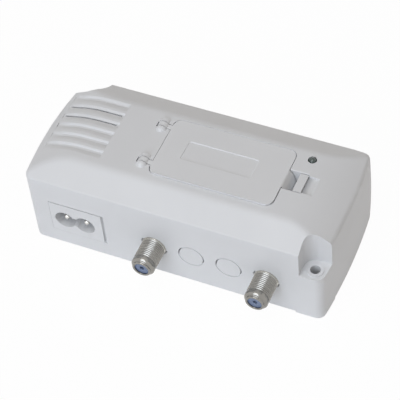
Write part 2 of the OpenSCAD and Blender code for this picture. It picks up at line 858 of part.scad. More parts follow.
module top_housing() {
    color(white)
        difference() {
            union() {
                difference() {
                    case_form(0, rim_z);
                    case_form(wall_t, rim_z - over);
                }
                intersection() {
                    case_form(0, 0);
                    union() {
                        for (ear = EARS)
                            rotate([0, 0, ear[0]])
                                ear_column(ear);
                        at_bosses()
                            translate([0, 0, base_t])
                                cylinder(h = case_h, r = boss_r);
                        well_walls();
                    }
                }
                hinge_lugs();
            }
            for (ear = EARS)
                rotate([0, 0, ear[0]])
                    ear_cut(ear);
            at_bosses()
                translate([0, 0, base_t - over])
                    cylinder(h = screw_len + over, r = screw_r + pilot_gap);
            louvre_cuts();
            well_cuts();
            front_cuts();
            translate([led_x, led_y, top_z - wall_t - over])
                cylinder(h = wall_t + 2 * over, r = led_r + led_gap);
        }
}

// Places a child at each of the board's standoffs
module at_standoffs() {
    for (x = [-1, 1], y = [-1, 1])
        translate([x * (board_half_x - standoff_end), y * standoff_y, 0])
            children();
}

module base_plate() {
    color(grey_white)
        difference() {
            union() {
                linear_extrude(base_t)
                    difference() {
                        plan(wall_t + base_gap);
                        ear_plans(wall_t + base_gap);
                    }
                at_standoffs()
                    cylinder(h = board_z, r = standoff_r);
            }
            at_bosses()
                translate([0, 0, -over]) {
                    cylinder(h = base_t + 2 * over, r = screw_r + base_gap);
                    cylinder(h = screw_head_h + over, r = screw_head_r + base_gap);
                }
            at_standoffs()
                translate([0, 0, base_t - pilot_floor])
                    cylinder(h = board_z, r = board_screw_r + pilot_gap);
        }
}

// Pan-head screw pointing up, its head's underside at the origin
module screw(shank_r, length, head_r, head_h) {
    cross_len = 1.2 * head_r;
    cross_w = 0.24 * head_r;
    cross_depth = head_h / 2;
    cylinder(h = length, r = shank_r);
    difference() {
        translate([0, 0, -head_h])
            cylinder(h = head_h, r = head_r);
        for (turn = [0, 90])
            rotate([0, 0, turn])
                translate([-cross_len / 2, -cross_w / 2, -head_h - over])
                    cube([cross_len, cross_w, cross_depth + over]);
    }
}

module base_screws() {
    color(tin)
        at_bosses()
            translate([0, 0, screw_head_h])
                screw(screw_r, screw_len, screw_head_r, screw_head_h - screw_sink);
}

// Half of the spring: the web that dips from the flap's edge to the seat of the heel
module latch_web() {
    seat_r = heel_r + heel_gap;
    cup_r = seat_r + web_t;
    web_x = flap_right - web_ease;
    difference() {
        union() {
            polygon(concat(
                bend(web_x, bend_z, bend_x - seat_r - web_x, latch_sink, 90, 0),
                bend(web_x, bend_z, bend_x - cup_r - web_x, latch_sink - flap_t, 0, 90)
            ));
            intersection() {
                translate([bend_x, bend_z])
                    circle(cup_r);
                translate([bend_x - cup_r, bend_z - cup_r])
                    square([cup_r + heel_r / 2, cup_r]);
            }
        }
        translate([bend_x, bend_z])
            circle(seat_r);
    }
}

module access_flap() {
    color(white) {
        difference() {
            flap_slab(0, flap_z, top_z);
            translate([flap_left + panel_x, flap_y + panel_y, top_z - panel_sink])
                linear_extrude(panel_sink + over)
                    round_rect(panel_len, panel_w, panel_r);
        }
        translate([0, latch_mid, 0])
            rotate([90, 0, 0])
                linear_extrude(latch_w, center = true)
                    latch_web();
        for (side = [-1, 1]) {
            y = flap_y + side * knuckle_y;
            half = knuckle_w / 2;
            rod_y(hinge_x, hinge_z, knuckle_r, y - half, y + half);
            block([hinge_x, y - half, flap_z], [flap_left + flap_r, y + half, top_z]);
            rod_y(hinge_x, hinge_z, pin_r, y - half - pin_len, y + half + pin_len);
        }
    }
}

module flap_latch() {
    color(white)
        translate([0, latch_mid, 0])
            rotate([90, 0, 0])
                linear_extrude(latch_w, center = true) {
                    translate([bend_x, bend_z])
                        circle(heel_r);
                    polygon([
                        [bend_x - heel_r / 2, bend_z + heel_r / 2], [bend_x + heel_r, bend_z],
                        [tab_right, top_z - ramp_sink], [tab_right, top_z - tab_sink],
                        [tab_left, top_z - tab_sink], [tab_left, top_z - ramp_sink]
                    ]);
                }
}

// Outline of the figure-of-eight socket
module socket_outline() {
    for (side = [-1, 1])
        translate([side * pin_pitch / 2, 0])
            circle(lobe_r);
    square([pin_pitch, waist_h], center = true);
}

module inlet_body() {
    color(white)
        difference() {
            union() {
                block([plate_x - plate_w / 2, plate_y, plate_z - plate_h / 2],
                    [plate_x + plate_w / 2, inner_front, plate_z + plate_h / 2]);
                block([plate_x, front_y + lip_sink, plate_z - plate_h / 2],
                    [plate_x + plate_w / 2 + snap_gap - plate_gap, inner_front, plate_z + plate_h / 2]);
                block([inlet_x - box_half, front_y + wall_t / 2, board_top],
                    [inlet_x + box_half, socket_back + socket_t, inlet_z + lobe_r + socket_t]);
            }
            translate([inlet_x, socket_back, inlet_z])
                rotate([90, 0, 0])
                    linear_extrude(socket_depth + over)
                        socket_outline();
            for (side = [-1, 1])
                rod_y(inlet_x + side * pin_pitch / 2, inlet_z, contact_r + contact_gap,
                    socket_back - over, socket_back + socket_t + over);
        }
}

module inlet_pins() {
    tip = plate_y + pin_recess + contact_r;
    color(tin)
        for (side = [-1, 1]) {
            x = inlet_x + side * pin_pitch / 2;
            translate([x, tip, inlet_z])
                rotate([90, 0, 0])
                    domed_rod(contact_r, pin_tail - tip);
            translate([x, pin_tail - contact_r, board_top])
                cylinder(h = inlet_z - board_top, r = leg_r);
        }
}

// Plated barrel with its lip, chamfer, thread land, neck, flange behind the wall and rear spigot
module aerial_socket(x) {
    tip = front_y - f_len;
    neck_r = thread_r - neck_step;
    flange = inner_front + flange_gap;
    spigot = can_front + can_t;
    color(nickel)
        translate([x, 0, f_z])
            rotate([-90, 0, 0])
                rotate_extrude()
                    polygon([
                        [f_bore_r, tip], [lip_r, tip], [lip_r, tip + lip_len],
                        [thread_r, tip + 2 * lip_len], [thread_r, front_y - neck_out],
                        [neck_r, front_y - neck_out], [neck_r, flange],
                        [flange_r, flange], [flange_r, flange + flange_t],
                        [neck_r, flange + flange_t], [neck_r, can_front],
                        [spigot_out_r, can_front], [spigot_out_r, spigot], [f_bore_r, spigot]
                    ]);
}

module socket_insulator(x) {
    tip = front_y - f_len + insulator_sink;
    color(blue)
        difference() {
            rod_y(x, f_z, f_bore_r - insulator_gap, tip, can_front + can_t);
            rod_y(x, f_z, insulator_hole_r, tip - over, can_front + can_t + over);
        }
}

// Centre contact: a tube in the insulator with a tail bent down to the board
module socket_contact(x) {
    tip = front_y - f_len + insulator_sink + tube_sink;
    r = insulator_hole_r - insulator_gap;
    color(brass)
        difference() {
            union() {
                rod_y(x, f_z, r, tip, contact_y);
                translate([x, contact_y - r, board_top])
                    cylinder(h = f_z - board_top, r = tail_r);
            }
            rod_y(x, f_z, tube_bore_r, tip - over, front_y);
        }
}

module circuit_board() {
    color("#2f6b45")
        difference() {
            translate([0, 0, board_z])
                linear_extrude(board_t)
                    difference() {
                        square([2 * board_half_x, 2 * board_half_y], center = true);
                        ear_plans(wall_t + board_gap / 2);
                        at_bosses() circle(boss_r + board_gap / 2);
                    }
            at_standoffs()
                translate([0, 0, board_z - over])
                    cylinder(h = board_t + 2 * over, r = board_screw_r + board_hole_gap);
        }
}

module board_screws() {
    color(tin)
        at_standoffs()
            translate([0, 0, board_top])
                mirror([0, 0, 1])
                    screw(board_screw_r, board_screw_len, board_head_r, board_head_h);
}

module screen_can() {
    color(tin)
        difference() {
            block([can_left, can_front, board_top], [can_right, can_back, can_top]);
            block([can_left + can_t, can_front + can_t, board_top - over],
                [can_right - can_t, can_back - can_t, can_top + over]);
            for (x = [f_x, f_right_x])
                rod_y(x, f_z, spigot_out_r + spigot_fit, can_front - over, can_front + can_t + over);
        }
}

module screen_lid() {
    grow = lid_gap + can_t;
    color(tin)
        difference() {
            block([can_left - grow, can_front - grow, can_top - lid_skirt],
                [can_right + grow, can_back + grow, can_top + can_t]);
            block([can_left - lid_gap, can_front - lid_gap, can_top - lid_skirt - over],
                [can_right + lid_gap, can_back + lid_gap, can_top]);
            for (x = [gain_x, slope_x])
                translate([x, adjuster_y, can_top - over])
                    cylinder(h = can_t + 2 * over, r = shaft_r + shaft_gap);
        }
}

module adjuster(x) {
    color("#3d6fa5")
        translate([x, adjuster_y, board_top])
            difference() {
                linear_extrude(adjust_h)
                    round_rect(adjust_size, adjust_size, least_r);
                translate([0, 0, adjust_h - spigot_len - shoulder_gap])
                    cylinder(h = spigot_len + shoulder_gap + over, r = spigot_r + spigot_gap);
            }
}

module adjuster_shaft(x) {
    high = well_z + shaft_up;
    low = adjust_top + shoulder_gap;
    color("#e8e6df")
        translate([x, adjuster_y, 0])
            difference() {
                union() {
                    translate([0, 0, low])
                        cylinder(h = high - low, r = shaft_r);
                    translate([0, 0, adjust_top - spigot_len])
                        cylinder(h = spigot_len + shoulder_gap + over / 2, r = spigot_r);
                }
                translate([-shaft_r - over, -slot_w / 2, high - slot_depth])
                    cube([2 * shaft_r + 2 * over, slot_w, slot_depth + over]);
            }
}

module transformer_core() {
    window_w = core_w / 2 - core_leg / 2 - core_yoke;
    color("#3a3a3c")
        translate([core_x, core_y, board_top])
            difference() {
                translate([-core_w / 2, -core_t / 2, 0])
                    cube([core_w, core_t, core_h]);
                for (side = [-1, 1])
                    translate([side * (core_leg + window_w) / 2 - window_w / 2, -core_t, core_yoke])
                        cube([window_w, 2 * core_t, core_h - 2 * core_yoke]);
            }
}

// Taped winding round the core's centre leg, on a bobbin whose feet stand on the board
module transformer_winding() {
    width = core_w - 2 * core_yoke - 2 * coil_gap;
    height = core_h - 2 * core_yoke - 2 * coil_gap;
    foot_w = (coil_depth - core_t) / 2 - coil_gap;
    color("#d8b54a")
        translate([core_x, core_y, board_top]) {
            translate([0, 0, core_yoke + coil_gap])
                linear_extrude(height)
                    difference() {
                        round_rect(width, coil_depth, coil_round);
                        square([core_leg + 2 * coil_gap, core_t + 2 * coil_gap], center = true);
                    }
            for (side = [-1, 1])
                translate([-width / 2, side * (coil_depth / 2 - foot_w / 2) - foot_w / 2, 0])
                    cube([width, foot_w, core_yoke + coil_gap + over]);
        }
}

// Electrolytic can with a rolled groove above its seal
module can_capacitor(x, y, r, h) {
    translate([x, y, board_top])
        rotate_extrude()
            polygon([
                [0, 0], [r, 0], [r, seal_h], [r - can_groove, seal_h + can_groove],
                [r, seal_h + 2 * can_groove], [r, h - can_groove], [r - can_groove, h], [0, h]
            ]);
}

module reservoir_capacitor() {
    color(sleeve)
        can_capacitor(reservoir_x, lid_back + part_gap + reservoir_r, reservoir_r, reservoir_h);
}

module output_capacitor() {
    color(sleeve)
        can_capacitor(output_x, lid_back + part_gap + output_r, output_r, output_h);
}

module mains_capacitor() {
    color("#b98a2c")
        translate([film_x, pin_tail + part_gap + film_w / 2, board_top])
            linear_extrude(film_h)
                round_rect(film_len, film_w, film_r);
}

module mains_fuse() {
    color("#30343a")
        translate([fuse_x, pin_tail + part_gap + fuse_r, board_top])
            rotate_extrude()
                polygon([
                    [0, 0], [fuse_r, 0], [fuse_r, fuse_h - fuse_bevel],
                    [fuse_r - fuse_bevel, fuse_h], [0, fuse_h]
                ]);
}

// Domed lamp with a flange, standing on its spacer
module indicator_lamp() {
    high = top_z + led_up;
    color("#2f5a45") {
        translate([led_x, led_y, 0]) {
            translate([0, 0, high - led_r])
                domed_rod(led_r, led_len - led_r);
            translate([0, 0, led_seat])
                cylinder(h = led_flange_h, r = led_flange_r);
            for (side = [-1, 1])
                translate([side * lead_pitch / 2, 0, board_top])
                    cylinder(h = led_seat - board_top + led_flange_h / 2, r = lead_r);
        }
    }
}

module lamp_spacer() {
    color("#e6e6e2")
        translate([led_x, led_y, board_top])
            difference() {
                cylinder(h = led_seat - board_top, r = spacer_r);
                for (side = [-1, 1])
                    translate([side * lead_pitch / 2, 0, -over])
                        cylinder(h = case_h, r = lead_r + lead_gap);
            }
}

top_housing();
base_plate();
base_screws();
access_flap();
flap_latch();
inlet_body();
inlet_pins();
aerial_socket(f_x);  // aerial_socket_left
aerial_socket(f_right_x);  // aerial_socket_right
socket_insulator(f_x);  // socket_insulator_left
socket_insulator(f_right_x);  // socket_insulator_right
socket_contact(f_x);  // socket_contact_left
socket_contact(f_right_x);  // socket_contact_right
circuit_board();
board_screws();
screen_can();
screen_lid();
adjuster(gain_x);  // gain_adjuster
adjuster_shaft(gain_x);  // gain_shaft
adjuster(slope_x);  // slope_adjuster
adjuster_shaft(slope_x);  // slope_shaft
transformer_core();
transformer_winding();
reservoir_capacitor();
output_capacitor();
mains_capacitor();
mains_fuse();
indicator_lamp();
lamp_spacer();
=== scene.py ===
import math

import bmesh
import bpy
import numpy as np
from mathutils import Matrix, Vector


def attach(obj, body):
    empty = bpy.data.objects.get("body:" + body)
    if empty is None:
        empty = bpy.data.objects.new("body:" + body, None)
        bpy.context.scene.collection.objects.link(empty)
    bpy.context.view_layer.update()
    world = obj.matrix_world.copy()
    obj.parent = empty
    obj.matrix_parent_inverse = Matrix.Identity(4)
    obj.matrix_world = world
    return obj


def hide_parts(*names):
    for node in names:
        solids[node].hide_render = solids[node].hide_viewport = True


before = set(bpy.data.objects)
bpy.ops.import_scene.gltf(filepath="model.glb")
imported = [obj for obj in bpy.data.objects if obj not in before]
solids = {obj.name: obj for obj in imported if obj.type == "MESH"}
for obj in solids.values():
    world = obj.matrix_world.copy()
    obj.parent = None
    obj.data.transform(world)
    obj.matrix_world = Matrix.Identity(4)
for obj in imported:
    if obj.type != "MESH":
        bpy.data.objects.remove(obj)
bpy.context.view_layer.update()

# Base plate: a flat moulding in the case's own plastic that closes the underside and carries the
# four standoffs of the board. Its skin has the fine spark-eroded grain of the mould.


def shader_group(name, inputs, outputs):
    """Empty group of shader nodes with named number inputs and outputs."""
    group = bpy.data.node_groups.new(name, "ShaderNodeTree")
    for label, value in inputs.items():
        socket = group.interface.new_socket(label, in_out="INPUT", socket_type="NodeSocketFloat")
        socket.default_value = value
    for label in outputs:
        group.interface.new_socket(label, in_out="OUTPUT", socket_type="NodeSocketFloat")
    return group, group.nodes.new("NodeGroupInput"), group.nodes.new("NodeGroupOutput")


def noise(tree, vector, scale, detail=2.0):
    """Noise texture on a vector. The scale is a number or a socket."""
    node = tree.nodes.new("ShaderNodeTexNoise")
    node.inputs["Detail"].default_value = detail
    tree.links.new(vector, node.inputs["Vector"])
    if isinstance(scale, bpy.types.NodeSocket):
        tree.links.new(scale, node.inputs["Scale"])
    else:
        node.inputs["Scale"].default_value = scale
    return node.outputs["Fac"]


def sum_of(tree, operation, first, second, third=None):
    """Output of a math node whose inputs are sockets or numbers."""
    node = tree.nodes.new("ShaderNodeMath")
    node.operation = operation
    for slot, value in zip(node.inputs, (first, second, third)):
        if isinstance(value, bpy.types.NodeSocket):
            tree.links.new(value, slot)
        elif value is not None:
            slot.default_value = value
    return node.outputs[0]


moulded_grain, given, result = shader_group(
    "moulded_grain",
    {"Grain Scale": 2600.0, "Flow Scale": 45.0, "Roughness": 0.5, "Roughness Spread": 0.1},
    ("Tone", "Roughness", "Height"),
)
place = moulded_grain.nodes.new("ShaderNodeTexCoord").outputs["Object"]
fine = noise(moulded_grain, place, given.outputs["Grain Scale"])
flow = noise(moulded_grain, place, given.outputs["Flow Scale"], 3.0)
spread = sum_of(moulded_grain, "SUBTRACT", fine, 0.5)
rough = sum_of(
    moulded_grain, "MULTIPLY_ADD", spread, given.outputs["Roughness Spread"], given.outputs["Roughness"]
)
moulded_grain.links.new(sum_of(moulded_grain, "MULTIPLY_ADD", fine, 0.3, flow), result.inputs["Tone"])
moulded_grain.links.new(rough, result.inputs["Roughness"])
moulded_grain.links.new(fine, result.inputs["Height"])


def blended(tree, mask, low, high):
    """Colour between two colours or sockets, by a mask."""
    node = tree.nodes.new("ShaderNodeMix")
    node.data_type = "RGBA"
    tree.links.new(mask, node.inputs[0])
    for slot, colour in ((node.inputs[6], low), (node.inputs[7], high)):
        if isinstance(colour, bpy.types.NodeSocket):
            tree.links.new(colour, slot)
        else:
            slot.default_value = (*colour, 1)
    return node.outputs[2]


def relief(tree, height, depth):
    """Bump of a height mask, as deep as given in metres, on the material's shader."""
    bump = tree.nodes.new("ShaderNodeBump")
    bump.inputs["Strength"].default_value = 1.0
    bump.inputs["Distance"].default_value = depth
    tree.links.new(height, bump.inputs["Height"])
    tree.links.new(bump.outputs["Normal"], tree.nodes["Principled BSDF"].inputs["Normal"])


def finish_with(name, group, values, low, high, depth):
    """Material whose tone, roughness and relief come from a shared group of nodes."""
    material = bpy.data.materials.new(name)
    material.use_nodes = True
    tree = material.node_tree
    shader = tree.nodes["Principled BSDF"]
    texture = tree.nodes.new("ShaderNodeGroup")
    texture.node_tree = group
    for label, value in values.items():
        texture.inputs[label].default_value = value
    tree.links.new(blended(tree, texture.outputs["Tone"], low, high), shader.inputs["Base Color"])
    tree.links.new(texture.outputs["Roughness"], shader.inputs["Roughness"])
    relief(tree, texture.outputs["Height"], depth)
    return material


def moulded(name, low, high, roughness, grain=2600.0, depth=0.000012):
    """Moulded plastic between two close tones."""
    values = {"Grain Scale": grain, "Roughness": roughness}
    return finish_with(name, moulded_grain, values, low, high, depth)


def wear(node, material):
    """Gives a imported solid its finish."""
    mesh = solids[node].data
    mesh.materials.clear()
    mesh.materials.append(material)
    for face in mesh.polygons:
        face.material_index = 0


def clean_skin(node):
    """The solid's triangles as one closed skin of flat faces, in millimetres."""
    skin = bmesh.new()
    skin.from_mesh(solids[node].data)
    bmesh.ops.scale(skin, vec=(1000, 1000, 1000), verts=skin.verts)
    bmesh.ops.remove_doubles(skin, verts=skin.verts, dist=0.001)
    bmesh.ops.dissolve_limit(skin, angle_limit=math.radians(0.5), verts=skin.verts, edges=skin.edges)
    return skin


LEAST_TURN = math.radians(40)


def ease(skin, width, steps=2, wanted=None):
    """Rounds the outward edges of a skin that turn by more than the least angle, where the test holds."""
    edges = [
        edge for edge in skin.edges
        if len(edge.link_faces) == 2 and edge.is_convex and edge.calc_face_angle() > LEAST_TURN
        and (wanted is None or wanted(edge))
    ]
    bmesh.ops.bevel(
        skin, geom=edges, offset=width, offset_type="OFFSET", segments=steps,
        profile=0.5, affect="EDGES", clamp_overlap=True, miter_inner="SHARP", miter_outer="SHARP",
    )


def piece_of(skin, name, material, body, node, plain=None):
    """Makes a skin, in millimetres, a finished piece that stands for the node and rides on the body.

    Large faces stay flat in its shading, apart from where the test called plain holds.
    """
    even = [i for i, vert in enumerate(skin.verts) if plain is None or not plain(*vert.co)]
    bmesh.ops.scale(skin, vec=(0.001, 0.001, 0.001), verts=skin.verts)
    mesh = bpy.data.meshes.new(name)
    skin.to_mesh(mesh)
    skin.free()
    mesh.materials.append(material)
    mesh.shade_smooth()
    mesh.set_sharp_from_angle(angle=math.radians(20))
    piece = bpy.data.objects.new(name, mesh)
    bpy.context.scene.collection.objects.link(piece)
    weighting = piece.modifiers.new("weighting", "WEIGHTED_NORMAL")
    weighting.keep_sharp = True
    piece.vertex_groups.new(name="even").add(even, 1.0, "REPLACE")
    weighting.vertex_group = "even"
    graph = bpy.context.evaluated_depsgraph_get()
    smooth = bpy.data.meshes.new_from_object(piece.evaluated_get(graph))
    piece.modifiers.clear()
    piece.data = smooth
    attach(piece, body)
    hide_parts(node)
    return piece


base_plastic = moulded("base_plastic", (0.66, 0.67, 0.68), (0.74, 0.75, 0.76), 0.52)
plate = clean_skin("base_plate")
ease(plate, 0.25)
piece_of(plate, "base_plate_moulding", base_plastic, "case", "base_plate")

# Screws: zinc-plated pan-head screws with a cross recess, cold headed. Two hold the base plate to
# the case's bosses from below and four hold the board to its standoffs.

plated_metal, given, result = shader_group(
    "plated_metal",
    {"Streak Scale": 900.0, "Stretch": 0.06, "Roughness": 0.3, "Roughness Spread": 0.2},
    ("Tone", "Roughness", "Height"),
)
place = plated_metal.nodes.new("ShaderNodeTexCoord").outputs["Object"]
stretch = plated_metal.nodes.new("ShaderNodeVectorMath")
stretch.operation = "MULTIPLY"
along = plated_metal.nodes.new("ShaderNodeCombineXYZ")
for axis in ("X", "Z"):
    plated_metal.links.new(given.outputs["Stretch"], along.inputs[axis])
along.inputs["Y"].default_value = 1.0
plated_metal.links.new(place, stretch.inputs[0])
plated_metal.links.new(along.outputs[0], stretch.inputs[1])
streak = noise(plated_metal, stretch.outputs[0], given.outputs["Streak Scale"], 4.0)
cloud = noise(plated_metal, place, 180.0, 2.0)
spread = sum_of(plated_metal, "SUBTRACT", streak, 0.5)
rough = sum_of(
    plated_metal, "MULTIPLY_ADD", spread, given.outputs["Roughness Spread"], given.outputs["Roughness"]
)
tone = sum_of(plated_metal, "MULTIPLY_ADD", streak, 0.5, sum_of(plated_metal, "MULTIPLY", cloud, 0.6))
plated_metal.links.new(tone, result.inputs["Tone"])
plated_metal.links.new(rough, result.inputs["Roughness"])
plated_metal.links.new(streak, result.inputs["Height"])


STREAK_DEPTH = 0.000003


def plated(name, low, high, roughness, **values):
    """Plated metal between two tones, with more values for the inputs of its group of nodes."""
    sockets = {"Roughness": roughness}
    sockets.update({label.replace("_", " ").title(): value for label, value in values.items()})
    material = finish_with(name, plated_metal, sockets, low, high, STREAK_DEPTH)
    material.node_tree.nodes["Principled BSDF"].inputs["Metallic"].default_value = 1.0
    return material


def tree_with(name, inputs):
    """Empty tree of geometry nodes with its sockets, given as pairs of label and kind."""
    tree = bpy.data.node_groups.new(name, "GeometryNodeTree")
    tree.interface.new_socket("Geometry", in_out="INPUT", socket_type="NodeSocketGeometry")
    for label, kind in inputs:
        tree.interface.new_socket(label, in_out="INPUT", socket_type="NodeSocket" + kind)
    tree.interface.new_socket("Geometry", in_out="OUTPUT", socket_type="NodeSocketGeometry")
    return tree, tree.nodes.new("NodeGroupInput").outputs, tree.nodes.new("NodeGroupOutput").inputs


def placed(tree, kind, **values):
    """Node of a geometry tree with its inputs set from sockets or numbers."""
    node = tree.nodes.new(kind)
    for label, value in values.items():
        slot = node.inputs[label.replace("_", " ")]
        if isinstance(value, bpy.types.NodeSocket):
            tree.links.new(value, slot)
        else:
            slot.default_value = value
    return node


def vector_of(tree, x=0.0, y=0.0, z=0.0):
    """Vector of three sockets or numbers."""
    return placed(tree, "ShaderNodeCombineXYZ", X=x, Y=y, Z=z).outputs[0]


def coated(tree, geometry, finish, result):
    """Ends a tree: real faces, all in one finish."""
    whole = placed(tree, "GeometryNodeRealizeInstances", Geometry=geometry)
    coat = placed(tree, "GeometryNodeSetMaterial", Geometry=whole.outputs[0], Material=finish)
    tree.links.new(coat.outputs[0], result["Geometry"])


def screw_tree():
    """Nodes that set a pan-head screw with a driver's cross on every given point."""
    tree, given, result = tree_with("pan_head_screws", (
        ("Head Radius", "Float"), ("Head Height", "Float"), ("Shank Radius", "Float"), ("Length", "Float"),
        ("Turn", "Vector"), ("Finish", "Material"),
    ))
    head_r, head_h = given["Head Radius"], given["Head Height"]
    ball = placed(tree, "GeometryNodeMeshUVSphere", Segments=40, Rings=20, Radius=head_r)
    split = tree.nodes.new("ShaderNodeSeparateXYZ")
    tree.links.new(tree.nodes.new("GeometryNodeInputPosition").outputs[0], split.inputs[0])
    below = sum_of(tree, "MULTIPLY", split.outputs[2], -1.0)
    share = sum_of(tree, "MAXIMUM", sum_of(tree, "DIVIDE", below, head_r), 0.0)
    drop = sum_of(tree, "MULTIPLY", sum_of(tree, "POWER", share, 0.55), head_h)
    crown = vector_of(tree, split.outputs[0], split.outputs[1], sum_of(tree, "MULTIPLY", drop, -1.0))
    head = placed(tree, "GeometryNodeSetPosition", Geometry=ball.outputs[0], Position=crown)
    long_arm = sum_of(tree, "MULTIPLY", head_r, 1.2)
    short_arm = sum_of(tree, "MULTIPLY", head_r, 0.26)
    arms = tree.nodes.new("GeometryNodeJoinGeometry")
    for x, y in ((long_arm, short_arm), (short_arm, long_arm)):
        arm = placed(tree, "GeometryNodeMeshCube", Size=vector_of(tree, x, y, head_h))
        sunk = placed(
            tree, "GeometryNodeTransform", Geometry=arm.outputs[0],
            Translation=vector_of(tree, z=sum_of(tree, "MULTIPLY", head_h, -1.0)),
        )
        tree.links.new(sunk.outputs[0], arms.inputs[0])
    recess = tree.nodes.new("GeometryNodeMeshBoolean")
    recess.operation = "DIFFERENCE"
    tree.links.new(head.outputs[0], recess.inputs[0])
    tree.links.new(arms.outputs[0], recess.inputs[1])
    rod = placed(
        tree, "GeometryNodeMeshCylinder", Vertices=32, Radius=given["Shank Radius"], Depth=given["Length"]
    )
    shank = placed(
        tree, "GeometryNodeTransform", Geometry=rod.outputs[0],
        Translation=vector_of(tree, z=sum_of(tree, "MULTIPLY", given["Length"], 0.5)),
    )
    screw = tree.nodes.new("GeometryNodeJoinGeometry")
    for part in (recess, shank):
        tree.links.new(part.outputs[0], screw.inputs[0])
    spread = placed(
        tree, "GeometryNodeInstanceOnPoints", Points=given["Geometry"], Instance=screw.outputs[0],
        Rotation=given["Turn"],
    )
    coated(tree, spread.outputs[0], given["Finish"], result)
    return tree


def grown(tree, values, name, points=()):
    """Plain mesh that a tree of geometry nodes makes from points and its given inputs."""
    seeds = bpy.data.meshes.new(name)
    seeds.from_pydata(points, [], [])
    holder = bpy.data.objects.new(name, seeds)
    bpy.context.scene.collection.objects.link(holder)
    modifier = holder.modifiers.new("nodes", "NODES")
    modifier.node_group = tree
    for item in tree.interface.items_tree:
        if item.in_out == "INPUT" and item.name in values:
            modifier[item.identifier] = values[item.name]
    graph = bpy.context.evaluated_depsgraph_get()
    mesh = bpy.data.meshes.new_from_object(holder.evaluated_get(graph))
    bpy.data.objects.remove(holder)
    return mesh


zinc_steel = plated("zinc_steel", (0.42, 0.43, 0.45), (0.66, 0.67, 0.69), 0.32, stretch=0.5)
screws = screw_tree()
BOSS_X, BOSS_Y, HEAD_SEAT = 55.8, 21.3, 1.7
STANDOFF_X, STANDOFF_Y, BOARD_TOP = 53.8, 10.0, 8.2
base_places = [(BOSS_X, BOSS_Y, HEAD_SEAT), (-BOSS_X, -BOSS_Y, HEAD_SEAT)]
board_places = [(x * STANDOFF_X, y * STANDOFF_Y, BOARD_TOP) for x in (-1, 1) for y in (-1, 1)]
for node, places, head_r, head_h, shank_r, length, turn in (
    ("base_screws", base_places, 2.7, 1.5, 1.45, 12.0, 0.0),
    ("board_screws", board_places, 2.1, 1.4, 1.1, 5.0, math.pi),
):
    sizes = {"Head Radius": head_r, "Head Height": head_h, "Shank Radius": shank_r, "Length": length}
    driven = grown(screws, {**sizes, "Turn": (turn, 0.0, 0.0), "Finish": zinc_steel}, node + "_mesh", places)
    skin = bmesh.new()
    skin.from_mesh(driven)
    piece_of(skin, node + "_turned", zinc_steel, "case", node)

# Circuit board: glass-fibre laminate under a glossy green solder mask. It lies on the standoffs of the
# base plate, and four screws hold it there.

board_green = moulded("board_green", (0.012, 0.085, 0.035), (0.03, 0.16, 0.07), 0.28, 900.0)
wear("circuit_board", board_green)

# Screening can and lid: folded from tin-plated sheet and soldered to the board round the amplifier
# stage. The lid's turned-down rim clips over the can.

tinned_sheet = plated("tinned_sheet", (0.5, 0.51, 0.52), (0.72, 0.73, 0.74), 0.34, streak_scale=500.0)
for node in ("screen_can", "screen_lid"):
    wear(node, tinned_sheet)

# Adjusters: square blue trimmer bodies with ivory shafts. Each shaft passes through the lid and the
# well's floor and ends in a screwdriver slot.

adjuster_blue = moulded("adjuster_blue", (0.03, 0.11, 0.27), (0.06, 0.18, 0.4), 0.42)
shaft_ivory = moulded("shaft_ivory", (0.66, 0.63, 0.56), (0.76, 0.73, 0.66), 0.4)
for node in ("gain_adjuster", "slope_adjuster"):
    wear(node, adjuster_blue)
SHAFT_END = 31.0
for body in ("gain", "slope"):
    shaft = clean_skin(body + "_shaft")
    ease(shaft, 0.12, wanted=lambda edge: edge.verts[0].co.z > SHAFT_END)
    piece_of(shaft, body + "_shaft_moulding", shaft_ivory, body + "_knob", body + "_shaft")

# Power supply: ferrite transformer with a taped winding, two sleeved electrolytic capacitors, a boxed
# film capacitor and a fuse, all soldered to the board behind the inlet.

ferrite = moulded("ferrite", (0.035, 0.035, 0.038), (0.075, 0.075, 0.08), 0.6, 1500.0, 0.00003)
winding_tape = moulded("winding_tape", (0.5, 0.34, 0.05), (0.7, 0.5, 0.1), 0.25, 700.0)
capacitor_sleeve = moulded("capacitor_sleeve", (0.012, 0.014, 0.022), (0.03, 0.034, 0.05), 0.22, 1200.0)
film_box = moulded("film_box", (0.4, 0.2, 0.03), (0.52, 0.29, 0.05), 0.35)
fuse_black = moulded("fuse_black", (0.018, 0.02, 0.026), (0.04, 0.044, 0.054), 0.4)
wear("transformer_core", ferrite)
wear("transformer_winding", winding_tape)
wear("reservoir_capacitor", capacitor_sleeve)
wear("output_capacitor", capacitor_sleeve)
wear("mains_capacitor", film_box)
wear("mains_fuse", fuse_black)

# Mains inlet: a white moulding with a figure-of-eight socket round two plated pins. It snaps into the
# window of the front wall, with a slit beside it where the snap gives and a gap above its plate.

# Places that are nearer than this, in millimetres, count as one.
NEAR = 0.02
case_plastic = moulded("case_plastic", (0.715, 0.725, 0.74), (0.775, 0.785, 0.8), 0.46)
pin_nickel = plated("pin_nickel", (0.55, 0.54, 0.51), (0.8, 0.79, 0.76), 0.2)
PLATE_LEFT, PLATE_FOOT, PLATE_HEAD, PLATE_FACE, PLATE_BACK = -51.9, 8.0, 24.4, -27.3, -25.4
PLATE_FIT, HEAD_GAP, TIGHT_EDGE = 0.06, 0.5, 0.2
inlet = clean_skin("inlet_body")
for vert in inlet.verts:
    if vert.co.y < PLATE_BACK:
        if vert.co.x < PLATE_LEFT + NEAR:
            vert.co.x -= PLATE_FIT
        if vert.co.z < PLATE_FOOT + NEAR:
            vert.co.z -= PLATE_FIT
        if vert.co.z > PLATE_HEAD - NEAR:
            vert.co.z -= HEAD_GAP


def all_at(test):
    """Test of an edge that holds where it holds for both its ends, given as x, y and z."""
    return lambda edge: all(test(*vert.co) for vert in edge.verts)


